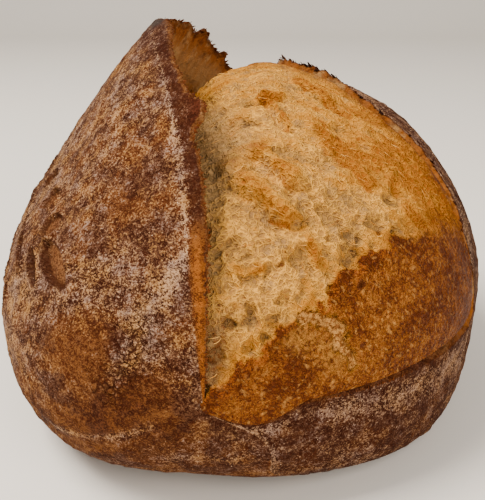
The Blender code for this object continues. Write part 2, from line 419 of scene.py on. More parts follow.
    def brown_skin(self, station: Array, angle: Array) -> Array:
        """Share of brown skin on the burst dough: 1 low on the right, 0 on the open crumb."""
        return smooth_fall(np.degrees(angle) - self.skin_edge(station), *self.skin_fade)

    def stand(self, points: Array) -> Array:
        """Leans and twists the loaf slightly, and eases its underside onto the floor.

        Args:
            points: places on the loaf.

        Returns:
            The places where they end up.
        """
        x, y, z = points[..., 0], points[..., 1], points[..., 2]
        leaning = x + self.lean * (z - self.axis_height)
        ease = self.floor_ease
        z = np.where(z < ease, ease * np.clip((z + ease) / (2 * ease), 0, 1) ** 2, z)
        turned_x = leaning * math.cos(self.twist) - y * math.sin(self.twist)
        turned_y = leaning * math.sin(self.twist) + y * math.cos(self.twist)
        return np.stack([turned_x, turned_y, z], axis=-1)

    def place(self, station: Array, flat: Array, height: float | Array = 0.0) -> Array:
        """Points of the loaf from points in its sections.

        Args:
            station: the angle along the score of each point.
            flat: across and up in the middle section's size.
            height: how far each point is raised out of the loaf.

        Returns:
            X, Y and Z of each point, before the loaf is centred on the origin.
        """
        size = self.fullness(station)
        across, up = size * flat[..., 0], size * flat[..., 1]
        y = np.broadcast_to(-self.half_length * np.cos(station), across.shape)
        points = np.stack([self.axis_x(station) + across, y, self.axis_height + up], axis=-1)
        outward = np.stack([across, np.zeros_like(across), up], axis=-1)
        outward /= np.maximum(np.linalg.norm(outward, axis=-1, keepdims=True), 1e-6)
        swelling = sum(swell * rolling(points, width) for swell, width in self.swellings)
        return self.stand(points + outward * ((swelling + height) * size)[..., None])


DOUGH = Dough()


@dataclass(frozen=True)
class Tear:
    """How the ear's edge is torn: its reach in metres at stations in degrees, and the crags on it."""

    pitch: float = 0.0030
    depth: float = 0.0009
    fine_pitch: float = 0.0013
    fine_depth: float = 0.0008
    crag_level: float = 0.4
    deeper_back: float = 2.2
    back: Stretch = (128, 140)
    tip: float = 0.0009
    reaches: Track = (
        (0, 0.0010), (30, 0.0004), (36, -0.0001), (40, -0.0005), (43, -0.0009), (45.2, -0.0016),
        (46.5, -0.0007), (48, 0.0024), (49.5, 0.0034), (51, 0.0032), (52.6, 0.0010), (54, 0.0002),
        (56, -0.0005), (61.5, -0.0008), (66, -0.0005), (70, 0.0002), (73.5, 0.0019), (76.5, 0.0028),
        (79.5, 0.0026), (82.5, 0.0017), (85, 0.0004), (88, -0.0008), (96, -0.0006), (98, 0.0),
        (101, 0.0004), (104, 0.0011), (106.5, 0.0008), (108, 0.0025), (109.4, 0.0012), (113.0, -0.0007),
        (114.2, 0.0032), (115.2, 0.0024), (117, 0.0007), (121, -0.0005), (122.4, -0.0016),
        (124.8, -0.0020), (126.0, 0.0014), (127.2, -0.0008), (130, -0.0023), (132, -0.0013),
        (134, 0.0007), (136, 0.0024), (141, 0.0014), (150, 0.0),
    )

    def reach(self, station: Array) -> Array:
        """How far the torn edge reaches past the even edge at each station, in metres.

        Args:
            station: the stations.

        Returns:
            The reach, in metres.
        """
        places = np.zeros((*station.shape, 3))
        places[..., 0] = DOUGH.half_length * station
        broad = self.crag_level - 2.0 * np.abs(rolling(places, self.pitch, 3.7))
        fine = self.crag_level - 2.0 * np.abs(rolling(places, self.fine_pitch, 9.1))
        deeper = 0.5 + self.deeper_back * DOUGH.along(station, self.back)
        uneven = self.depth * deeper * broad + self.fine_depth * fine
        return uneven + np.interp(np.degrees(station), *zip(*self.reaches)) - self.tip

    def shift(self, station: Array) -> Array:
        """The same as an angle round the section."""
        full = np.maximum(DOUGH.fullness(station), 0.25)
        return self.reach(station) / (full * (DOUGH.reach_up + DOUGH.ear_lift))


TEAR = Tear()


def rows(count: int, crowding: float = 0.22) -> Array:
    """Stations for a grid's rows, closer together in front, without the two ends.

    Args:
        count: how many rows there are.
        crowding: how much closer the front rows are: 0 for even rows.

    Returns:
        A column of angles.
    """
    share = np.arange(1, count + 1) / (count + 1)
    return (math.pi * ((1 - crowding) * share + crowding * share**2))[:, None]


def spaced(weights: Sequence[tuple[float, float]], count: int) -> Array:
    """Places that lie closer where a weight is larger.

    Args:
        weights: places with the weight there, in rising order.
        count: how many places to make.

    Returns:
        The places, from the first to the last one given.
    """
    known = np.array([place for place, _ in weights])
    heights = np.array([weight for _, weight in weights])
    fine = np.linspace(known[0], known[-1], 4001)
    density = np.interp(fine, known, heights)
    total = np.concatenate([[0], np.cumsum((density[1:] + density[:-1]) / 2)])
    return np.interp(np.linspace(0, total[-1], count), total, fine)


@dataclass
class Patch:
    """A piece's outer surface as a grid, with the values that its relief and finish need.

    Attributes:
        name: the piece's name.
        station: the angle along the score of each row, as a column.
        angle: the angle round the section of each place of the grid.
        points: X, Y and Z of each place.
        core: X, Y and Z of a point inside the loaf for each row.
        ends: the front and back end points.
        values: named values for each place of the grid.
    """

    name: str
    station: Array
    angle: Array
    points: Array
    core: Array
    ends: Array
    values: dict[str, Array] = field(default_factory=dict)

    def moved(self, shift: Array) -> "Patch":
        """The patch, moved by shift."""
        self.points, self.core, self.ends = self.points + shift, self.core + shift, self.ends + shift
        return self

    def turns(self) -> tuple[Array, Array]:
        """Station and angle at each place of the grid, in degrees."""
        return np.degrees(self.station + 0 * self.angle), np.degrees(self.angle)

    def columns(self) -> Array:
        """The number of the column at each place of the grid."""
        return np.arange(self.points.shape[1])[None] * np.ones_like(self.angle)

    def calm(self, start: int, end: int) -> Array:
        """Share of the relief that shows, which ends so many columns from the grid's two long borders."""
        column, last = self.columns(), self.points.shape[1] - 1
        return smooth_step(column, 0, start) * smooth_fall(column, last - end, last)

    def off_floor(self) -> Array:
        """Share of the relief that shows, which ends where the loaf stands on the floor."""
        return smooth_step(self.points[..., 2], 0.0, 0.006)

    def normals(self) -> Array:
        """Outward direction at each place of the grid.

        Returns:
            A unit direction for each place.
        """
        along = np.gradient(self.points, axis=0)
        around = np.gradient(self.points, axis=1)
        direction = np.cross(around, along)
        direction /= np.maximum(np.linalg.norm(direction, axis=-1, keepdims=True), 1e-12)
        middle = direction[direction.shape[0] // 2, direction.shape[1] // 2]
        centre = self.points[self.points.shape[0] // 2, self.points.shape[1] // 2]
        outward = centre - self.core[self.core.shape[0] // 2]
        return direction if middle @ outward > 0 else -direction

    def mesh_object(self) -> Object:
        """The patch closed by walls to the loaf's core, as a mesh object with its values stored.

        Returns:
            The object.
        """
        count, width = self.points.shape[:2]
        ring = width + 1
        grid = np.concatenate([self.points, self.core[:, None]], axis=1).reshape(-1, 3)
        places = np.concatenate([grid, self.ends])
        index = np.arange(count * ring).reshape(count, ring)
        right = np.roll(index, -1, axis=1)
        quads = np.stack([index[:-1], right[:-1], right[1:], index[1:]], axis=-1).reshape(-1, 4)
        front, back = count * ring, count * ring + 1
        first = np.stack([np.full(ring, front), right[0], index[0]], axis=-1)
        last = np.stack([np.full(ring, back), index[-1], right[-1]], axis=-1)
        triangles = np.concatenate([first, last])
        mesh = bpy.data.meshes.new(self.name)
        mesh.vertices.add(len(places))
        mesh.vertices.foreach_set("co", places.astype(np.float32).ravel())
        corners = np.concatenate([quads.ravel(), triangles.ravel()])
        sizes = np.concatenate([np.full(len(quads), 4), np.full(len(triangles), 3)])
        mesh.loops.add(len(corners))
        mesh.loops.foreach_set("vertex_index", corners.astype(np.int32))
        mesh.polygons.add(len(sizes))
        mesh.polygons.foreach_set("loop_start", np.concatenate([[0], np.cumsum(sizes)[:-1]]).astype(np.int32))
        mesh.update(calc_edges=True)
        self.face_out(mesh)
        self.crease_border(mesh, width)
        self.store(mesh, "outward", self.normals())
        for name, values in self.values.items():
            self.store(mesh, name, values)
        thing = bpy.data.objects.new(self.name, mesh)
        bpy.context.scene.collection.objects.link(thing)
        return thing

    def face_out(self, mesh: Mesh) -> None:
        """Turns the faces outwards if the grid's order has them inwards.

        Args:
            mesh: the mesh.
        """
        corners = np.zeros(len(mesh.loops), np.int32)
        mesh.loops.foreach_get("vertex_index", corners)
        places = np.zeros(len(mesh.vertices) * 3, np.float32)
        mesh.vertices.foreach_get("co", places)
        places = places.reshape(-1, 3).astype(float)
        starts = np.zeros(len(mesh.polygons), np.int32)
        mesh.polygons.foreach_get("loop_start", starts)
        a, b, c = (places[corners[starts + step]] for step in range(3))
        volume = np.einsum("ij,ij->", a, np.cross(b, c))
        quad = np.diff(np.append(starts, len(corners))) == 4
        a, b, c = (places[corners[starts[quad] + step]] for step in (0, 2, 3))
        volume += np.einsum("ij,ij->", a, np.cross(b, c))
        if volume < 0:
            mesh.flip_normals()

    def crease_border(self, mesh: Mesh, width: int) -> None:
        """Shades smooth, but keeps the grid's two long borders sharp.

        Args:
            mesh: the mesh.
            width: how many columns the grid has.
        """
        pairs = np.zeros(len(mesh.edges) * 2, np.int32)
        mesh.edges.foreach_get("vertices", pairs)
        column = pairs.reshape(-1, 2) % (width + 1)
        inside = (pairs.reshape(-1, 2) < len(mesh.vertices) - 2).all(axis=1)
        sharp = inside & ((column == 0).all(axis=1) | (column == width - 1).all(axis=1))
        mesh.shade_smooth()
        mark = mesh.attributes.new("sharp_edge", "BOOLEAN", "EDGE")
        mark.data.foreach_set("value", sharp)

    def store(self, mesh: Mesh, name: str, values: Array) -> None:
        """Stores one value or direction for each vertex, with zero inside and the nearest at the ends.

        Args:
            mesh: the mesh.
            name: the attribute's name.
            values: the values on the grid, or some that fit it.
        """
        shape = self.points.shape[:2]
        values = np.broadcast_to(values, (*shape, *values.shape[2:]))
        hidden = np.zeros((shape[0], 1, *values.shape[2:]))
        whole = np.concatenate([values, hidden], axis=1).reshape(-1, *values.shape[2:])
        ends = np.stack([values[0, shape[1] // 2], values[-1, shape[1] // 2]])
        if name == "outward":
            ends = np.array([[0, -1, 0], [0, 1, 0]], float)
        write_attribute(mesh, name, np.concatenate([whole, ends]))


def from_line(points: Array, line: Array) -> tuple[Array, Array]:
    """How far points lie from a line, and how far in front of it.

    Args:
        points: places on the loaf.
        line: the line's corners.

    Returns:
        The distance, and the part of it towards the loaf's front, both in metres.
    """
    best = np.full(points.shape[:-1], np.inf)
    ahead = np.zeros(points.shape[:-1])
    for start, end in zip(line[:-1], line[1:]):
        span = end - start
        share = np.clip(((points - start) @ span) / (span @ span), 0, 1)
        away = points - start - share[..., None] * span
        gap = np.linalg.norm(away, axis=-1)
        ahead = np.where(gap < best, -away[..., 1], ahead)
        best = np.minimum(best, gap)
    return best, ahead


def on_crust(track: Track) -> Array:
    """Places on the left crust from stations and angles in degrees."""
    turns = np.radians(np.array(track, float))
    return DOUGH.place(turns[:, 0], DOUGH.crust(turns[:, 0], turns[:, 1]))


def on_right(track: Track) -> Array:
    """Places on the burst dough and the floured right side from stations and angles in degrees.

    Args:
        track: stations and angles, in degrees.

    Returns:
        One place for each pair.
    """
    station, angle = np.radians(np.array(track, float)).T
    radius = DOUGH.dough_radius(angle, DOUGH.reach_right, DOUGH.squareness_right)
    return DOUGH.place(station, DOUGH.round_points(radius, angle))


def dot(station: float, angle: float) -> Track:
    """A very short track at one place."""
    return ((station, angle), (station + 0.3, angle))


def nearness(points: Array, line: Array, width: float) -> Array:
    """How near points lie to a line: 1 on it, falling to 0 over about twice its half width."""
    return np.exp(-((from_line(points, line)[0] / width) ** 2))


@dataclass(frozen=True)
class TornRidge:
    """A ridge of torn crumb that drops steeply in front: its track in degrees, its width and height."""

    track: Track
    width: float
    height: float

    def relief(self, points: Array) -> tuple[Array, Array, Array]:
        """The ridge's height, how toasted it is and how deep in its crease, at points on the crumb; the
        crease is painted as a shadow line.

        Args:
            points: places on the loaf.

        Returns:
            The three values.
        """
        gap, ahead = from_line(points, on_right(self.track))
        behind = np.exp(-((gap / (1.6 * self.width)) ** 2))
        before = np.exp(-((gap / (0.5 * self.width)) ** 2))
        ridge = np.where(ahead > 0, before, behind)
        hollow = np.exp(-(((gap - 1.1 * self.width) / (0.8 * self.width)) ** 2)) * (ahead > 0)
        toasted = np.where(ahead > 0, before, np.exp(-((gap / (1.1 * self.width)) ** 2)))
        crease = np.exp(-(((gap - 0.8 * self.width) / 0.0006) ** 2)) * (ahead > 0.6 * gap)
        return self.height * (ridge - 0.7 * hollow), toasted, crease


@dataclass(frozen=True)
class Hole:
    """A round hole in the crumb: its middle in degrees, its radius, depth and rim."""

    station: float
    angle: float
    radius: float
    depth: float
    rim: float = 0.0003

    def relief(self, points: Array) -> tuple[Array, Array]:
        """The hole's height, below zero inside, and how deep inside it a point is, from 0 to 1.

        Args:
            points: places on the loaf.

        Returns:
            The height in metres, and the share.
        """
        middle = on_right(((self.station, self.angle),))[0]
        gap = np.linalg.norm(points - middle, axis=-1)
        close = gap < 3 * self.radius
        gap[close] *= 1 + 0.5 * rolling(points[close], 0.9 * self.radius, self.station)
        inside = smooth_fall(gap, 0.55 * self.radius, 1.05 * self.radius)
        rim = np.exp(-(((gap - 1.15 * self.radius) / 0.0007) ** 2))
        return self.rim * rim - self.depth * inside, inside


RIDGES = (
    TornRidge(((50.4, 90.8), (46.5, 86.5), (42.0, 81.0), (38.8, 74.7), (37.8, 70.0)), 0.0030, 0.0032),
    TornRidge(((52.0, 83.5), (49.0, 78.5), (45.5, 72.5)), 0.0026, 0.0028),
    TornRidge(((69.5, 84.0), (64.5, 80.0), (59.5, 77.0)), 0.0013, 0.0020),
    TornRidge(((67.5, 100.0), (68.6, 94.0), (69.2, 87.0), (69.8, 80.0)), 0.0013, 0.0016),
    TornRidge(((73.0, 99.0), (75.0, 94.0), (73.5, 88.0)), 0.0012, 0.0009),
    TornRidge(((62.0, 70.0), (61.0, 63.0), (58.0, 57.0)), 0.0018, 0.0008),
    TornRidge(((57.0, 66.0), (54.5, 58.0), (51.0, 52.0)), 0.0018, 0.0009),
    TornRidge(((80.0, 76.0), (77.0, 69.0), (73.0, 62.0)), 0.0020, 0.0009),
    TornRidge(((34.0, 62.0), (31.0, 56.0), (30.0, 51.0)), 0.0016, 0.0007),
    TornRidge(((26.0, 84.0), (25.0, 78.0), (26.5, 71.0)), 0.0014, 0.0006),
)
HOLES = (
    Hole(27.3, 44.8, 0.0018, 0.0014),
    Hole(15.1, 77.8, 0.0020, 0.0017),
    Hole(18.3, 69.2, 0.0020, 0.0012),
    Hole(36.7, 78.0, 0.0070, 0.0012),
    Hole(30.5, 86.0, 0.0034, 0.0016),
    Hole(45.0, 92.5, 0.0034, 0.0018),
    Hole(55.0, 96.0, 0.0042, 0.0020),
    Hole(24.0, 89.0, 0.0026, 0.0012),
    Hole(9.0, 82.0, 0.0030, 0.0012),
    Hole(31.1, 38.1, 0.0009, 0.0008),
    Hole(40.0, 66.0, 0.0034, 0.0010),
    Hole(22.0, 58.0, 0.0022, 0.0010),
    Hole(33.0, 70.0, 0.0026, 0.0010),
    Hole(12.0, 60.0, 0.0024, 0.0012),
)
POCKETS = (
    (((20.4, 46.1), (21.6, 40.5), (22.5, 34.0)), 0.0024),
    (((22.5, 34.0), (22.6, 30.0), (21.2, 25.0)), 0.0032),
    (((21.2, 25.0), (21.5, 19.0), (21.5, 14.0)), 0.0020),
)
GLOW = (((17.0, 41.0), (18.0, 36.0), (18.8, 29.0), (19.0, 20.0)), 0.0036)
SPOTS = (
    (31.1, 38.1, 0.0017),
    (27.7, 65.8, 0.0010),
    (56.9, 32.5, 0.0012),
    (42.4, 43.5, 0.0012),
    (62.3, 63.6, 0.0010),
    (24.0, 20.0, 0.0009),
)


@dataclass(frozen=True)
class LeafCut:
    """One cut of the sprig: its middle's station and angle in degrees, its sizes, and its turn."""

    station: float
    angle: float
    length: float
    width: float
    turn: float
    # How dark the open floor is painted, as shade: near 1 for the narrow slits.
    shade: float = 0.08
    depth: float = 0.0030
    rim: float = 0.0006

    def spread(self, points: Array) -> tuple[Array, Array, Array]:
        """Places along and across the cut and off its plane, in metres, for points on the loaf.

        Args:
            points: places on the loaf.

        Returns:
            The three distances.
        """
        station = np.radians(np.array([self.station, self.station + 1, self.station]))
        angle = np.radians(np.array([self.angle, self.angle, self.angle + 1]))
        middle, ahead, below = DOUGH.place(station, DOUGH.crust(station, angle))
        along = (ahead - middle) / np.linalg.norm(ahead - middle)
        down = below - middle - ((below - middle) @ along) * along
        down /= np.linalg.norm(down)
        turn = math.radians(self.turn)
        lengthwise = math.cos(turn) * along + math.sin(turn) * down
        sideways = -math.sin(turn) * along + math.cos(turn) * down
        off = np.abs((points - middle) @ np.cross(along, down))
        return (points - middle) @ lengthwise, (points - middle) @ sideways, off

    def relief(self, points: Array) -> tuple[Array, Array, Array]:
        """The cut's height, how open it is, and its painted shadow, at points on the loaf.

        Args:
            points: places on the loaf.

        Returns:
            The three values.
        """
        lengthwise, sideways, off = self.spread(points)
        half = self.width / 2 * np.clip(1 - (2 * lengthwise / self.length) ** 2, 0, 1) ** 0.7
        inside = half - np.abs(sideways)
        opened = smooth_step(inside, -0.0001, 0.0005)
        floor = 0.65 + 0.35 * np.clip(sideways / np.maximum(half, 1e-4), -1, 1)
        rim = self.rim * np.exp(-((np.minimum(inside, 0) / 0.0011) ** 2)) * (1 - opened)
        near = smooth_step(self.length / 2 + 0.0015 - np.abs(lengthwise), 0, 0.002)
        near *= smooth_step(0.012 - np.abs(sideways), 0, 0.004) * smooth_step(0.014 - off, 0, 0.004)
        # Painted shadow: a dark outline round the cut, darker on the wall turned from the light, and a dark
        # floor as strong as the shade share.
        outline_shadow = np.exp(-(((inside - 0.0003) / 0.0006) ** 2)) * (self.length / 2 > np.abs(lengthwise))
        turn = math.radians(self.turn)
        shaded = np.sign(sideways) * math.copysign(1, math.cos(turn) - math.sin(turn))
        dark = np.maximum(outline_shadow * (0.85 + 0.40 * shaded), self.shade * opened)
        return near * (rim - self.depth * opened * floor), near * opened, near * np.clip(dark, 0, 1)


SPRIG = (
    LeafCut(43.5, 147.5, 0.0225, 0.0080, 4),
    LeafCut(53.0, 145.0, 0.0120, 0.0074, 62),
    LeafCut(62.0, 144.5, 0.0110, 0.0070, 62),
    LeafCut(71.0, 145.0, 0.0110, 0.0066, 62),
    LeafCut(80.0, 146.5, 0.0105, 0.0062, 60),
    LeafCut(60.5, 157.5, 0.0290, 0.0046, -14, 1.0),
    LeafCut(48.5, 154.5, 0.0170, 0.0042, -12, 1.0),
    LeafCut(77.0, 154.0, 0.0190, 0.0036, -6, 1.0),
    LeafCut(56.0, 169.0, 0.0100, 0.0050, -58),
    LeafCut(65.0, 167.0, 0.0100, 0.0050, -58),
    LeafCut(74.0, 165.0, 0.0100, 0.0050, -58),
)


FLOUR_BANDS = (
    (((92, 109.5), (85.2, 109.1), (69.9, 106.8), (60.2, 105.0), (54.8, 103.9), (48.1, 102.6)), 0.0009, 0.60),
    (((48.1, 102.6), (43.7, 101.2), (35.1, 100.3), (30.9, 99.7), (26.0, 99.0)), 0.0016, 0.42),
    (((26.0, 99.8), (23.0, 107.0), (20.9, 115.0), (19.6, 126.0)), 0.0026, 0.26),
    (((24.0, 105.0), (19.5, 119.1), (15.5, 141.0), (14.1, 160.0)), 0.0046, 0.34),
    (((34, 196.5), (26.4, 198.0), (15.4, 200.4), (8.0, 198.0)), 0.0026, 0.95),
    (((16.0, 232.0), (14.0, 245.0), (13.0, 262.0), (14.0, 285.0)), 0.0030, 0.40),
)
BLEMISHES = (
    (40.7, 127.8, 0.0110, -0.20, 0.1),
    (24.2, 157.5, 0.0080, -0.34, 0.3),
    (22.9, 146.5, 0.0070, -0.14, 0.7),
    (28.2, 164.1, 0.0070, -0.28, 0.0),
    (20.9, 163.0, 0.0060, -0.34, 0.5),
    (14.9, 187.9, 0.0100, -0.34, 0.8),
    (25.3, 188.1, 0.0090, -0.34, 0.2),
    (9.8, 171.0, 0.0085, -0.30, 0.9),
    (5.6, 165.0, 0.0070, -0.20, 0.6),
    (7.3, 126.0, 0.0070, -0.12, 0.7),
    (41.2, 119.0, 0.0060, -0.05, 0.6),
    (32.5, 126.2, 0.0050, 0.10, 0.0),
    (27.7, 138.5, 0.0070, 0.12, 0.0),
    (44.9, 159.5, 0.0100, 0.16, 0.0),
    (29.3, 147.7, 0.0060, 0.14, 0.0),
    (8.0, 205.0, 0.0100, -0.16, 0.6),
)
CRACKED = (((18.0, 128.0), (15.2, 142.0), (14.1, 155.0), (14.1, 168.0)), 0.0062)
FLAKE = (((52.6, 97.5), (50.0, 96.5), (47.8, 97.0)), 0.0034)
KNOB = (((84.0, 107.2), (88.0, 108.0)), 0.0036)


class Wire:
    """A value in a node tree, with arithmetic that adds the nodes for it."""

    def __init__(self, graph: "Graph", socket: NodeSocket) -> None:
        """Holds a socket of a graph."""
        self.graph = graph
        self.socket = socket

    def __add__(self, other: "Wire | float") -> "Wire":
        """Sum."""
        return self.graph.math(Operation.ADD, self, other)

    def __radd__(self, other: float) -> "Wire":
        """Sum."""
        return self.graph.math(Operation.ADD, other, self)

    def __sub__(self, other: "Wire | float") -> "Wire":
        """Difference."""
        return self.graph.math(Operation.SUBTRACT, self, other)

    def __rsub__(self, other: float) -> "Wire":
        """Difference."""
        return self.graph.math(Operation.SUBTRACT, other, self)

    def __mul__(self, other: "Wire | float") -> "Wire":
        """Product."""
        return self.graph.math(Operation.MULTIPLY, self, other)

    def __rmul__(self, other: float) -> "Wire":
        """Product."""
        return self.graph.math(Operation.MULTIPLY, other, self)

    def clamped(self) -> "Wire":
        """The value kept from 0 to 1."""
        return self.graph.math(Operation.ADD, self, 0.0, clamp=True)

    def rise(self, low: "Wire | float", high: "Wire | float") -> "Wire":
        """Smooth rise from 0 at low to 1 at high."""
        ends = {"Value": self, "From Min": low, "From Max": high}
        return self.graph.add("ShaderNodeMapRange", ends, "Result", interpolation_type="SMOOTHSTEP")


class Graph:
    """Builds one node tree, of a material or of geometry nodes."""

    def __init__(self, tree: NodeTree) -> None:
        """Starts with the tree's nodes removed."""
        self.tree = tree
        self.tree.nodes.clear()

    def feed(self, socket: NodeSocket, value: object) -> None:
        """Links a wire to a socket, or sets its value.

        Args:
            socket: the socket that is fed.
            value: a wire, or what the socket is set to.
        """
        if isinstance(value, Wire):
            self.tree.links.new(value.socket, socket)
        else:
            socket.default_value = value

    def node(self, kind: str, inputs: dict[object, object], **settings: object) -> Node:
        """Adds a node.

        Args:
            kind: the node's type.
            inputs: what goes in, by name or number.
            **settings: the node's own settings.

        Returns:
            The node.
        """
        made = self.tree.nodes.new(kind)
        for name, value in settings.items():
            setattr(made, name, value)
        for key, value in inputs.items():
            self.feed(made.inputs[key], value)
        return made

    def add(self, kind: str, inputs: dict[object, object], output: object = 0, **settings: object) -> Wire:
        """Adds a node and gives the wire from one of its outputs."""
        return Wire(self, self.node(kind, inputs, **settings).outputs[output])

    def math(self, operation: Operation, *values: object, clamp: bool = False) -> Wire:
        """One arithmetic operation."""
        numbers = dict(enumerate(values))
        return self.add("ShaderNodeMath", numbers, operation=operation.value, use_clamp=clamp)

    def vector(self, operation: Operation, *values: object) -> Wire:
        """One operation on vectors."""
        vectors = dict(enumerate(values))
        return self.add("ShaderNodeVectorMath", vectors, "Vector", operation=operation.value)

    def scaled(self, value: Wire, amount: "Wire | float") -> Wire:
        """A vector times a number."""
        inputs = {0: value, "Scale": amount}
        return self.add("ShaderNodeVectorMath", inputs, "Vector", operation=Operation.SCALE.value)

    def offset(self, place: Wire, by: "Wire | Sequence[float]") -> Wire:
        """A place moved by a vector."""
        return self.vector(Operation.ADD, place, by)

    def stretched(self, place: Wire, x: float, y: float, z: float) -> Wire:
        """A place scaled by a number on each axis, for a pattern that runs one way."""
        return self.vector(Operation.MULTIPLY, place, (x, y, z))

    def blend(self, share: "Wire | float", low: "Wire | float", high: "Wire | float") -> Wire:
        """A number between low and high."""
        return self.add("ShaderNodeMix", {0: share, 2: low, 3: high}, data_type="FLOAT")

    def tint(self, share: "Wire | float", low: "Wire | Colour", high: "Wire | Colour") -> Wire:
        """A colour between low and high."""
        return self.add("ShaderNodeMix", {0: share, 6: low, 7: high}, 2, data_type="RGBA")

    def coated(self, colour: Wire, coats: Iterable[tuple[Wire, "Wire | Colour"]]) -> Wire:
        """A colour under several coats, each given by how much it covers and its own colour.

        Args:
            colour: the colour below.
            coats: their covers and colours.

        Returns:
            The colour on top.
        """
        for share, coat in coats:
            colour = self.tint(share, colour, coat)
        return colour

    def noise(self, place: Wire, size: float, detail: float = 2.0, rough: float = 0.5) -> Wire:
        """Smooth random value from 0 to 1, with swells of a size in metres."""
        inputs = {"Vector": place, "Scale": 1 / size, "Detail": detail, "Roughness": rough}
        return self.add("ShaderNodeTexNoise", inputs)

    def jitter(self, place: Wire, size: float, reach: float) -> Wire:
        """A random vector of up to about half of reach, with swells of a size in metres."""
        swell = self.add("ShaderNodeTexNoise", {"Vector": place, "Scale": 1 / size, "Detail": 1.0}, 1)
        return self.scaled(self.vector(Operation.SUBTRACT, swell, (0.5, 0.5, 0.5)), reach)

    def wander(self, place: Wire, size: float, reach: float) -> Wire:
        """The place, moved about at random by up to about half of reach."""
        return self.offset(place, self.jitter(place, size, reach))

    def ridged(self, place: Wire, size: float, detail: float = 2.0, rough: float = 0.5) -> Wire:
        """Random ridges: 1 on their crests, lower between them."""
        swell = self.noise(place, size, detail, rough)
        return 1 - self.math(Operation.ABSOLUTE, swell * 2.0 - 1.0) * 2.4

    def cells(self, place: Wire, size: float) -> tuple[Wire, Wire]:
        """Random cells of a size in metres.

        Args:
            place: the places.
            size: how large a cell is, in metres.

        Returns:
            The distance from a cell's middle, and a random number for each cell.
        """
        made = self.node("ShaderNodeTexVoronoi", {"Vector": place, "Scale": 1 / size}, feature="F1")
        number = self.add("ShaderNodeSeparateXYZ", {0: Wire(self, made.outputs["Color"])})
        return Wire(self, made.outputs["Distance"]), number

    def walls(self, place: Wire, size: float) -> Wire:
        """Distance from the walls between random cells of a size in metres, in cells."""
        inputs = {"Vector": place, "Scale": 1 / size}
        return self.add("ShaderNodeTexVoronoi", inputs, "Distance", feature="DISTANCE_TO_EDGE")


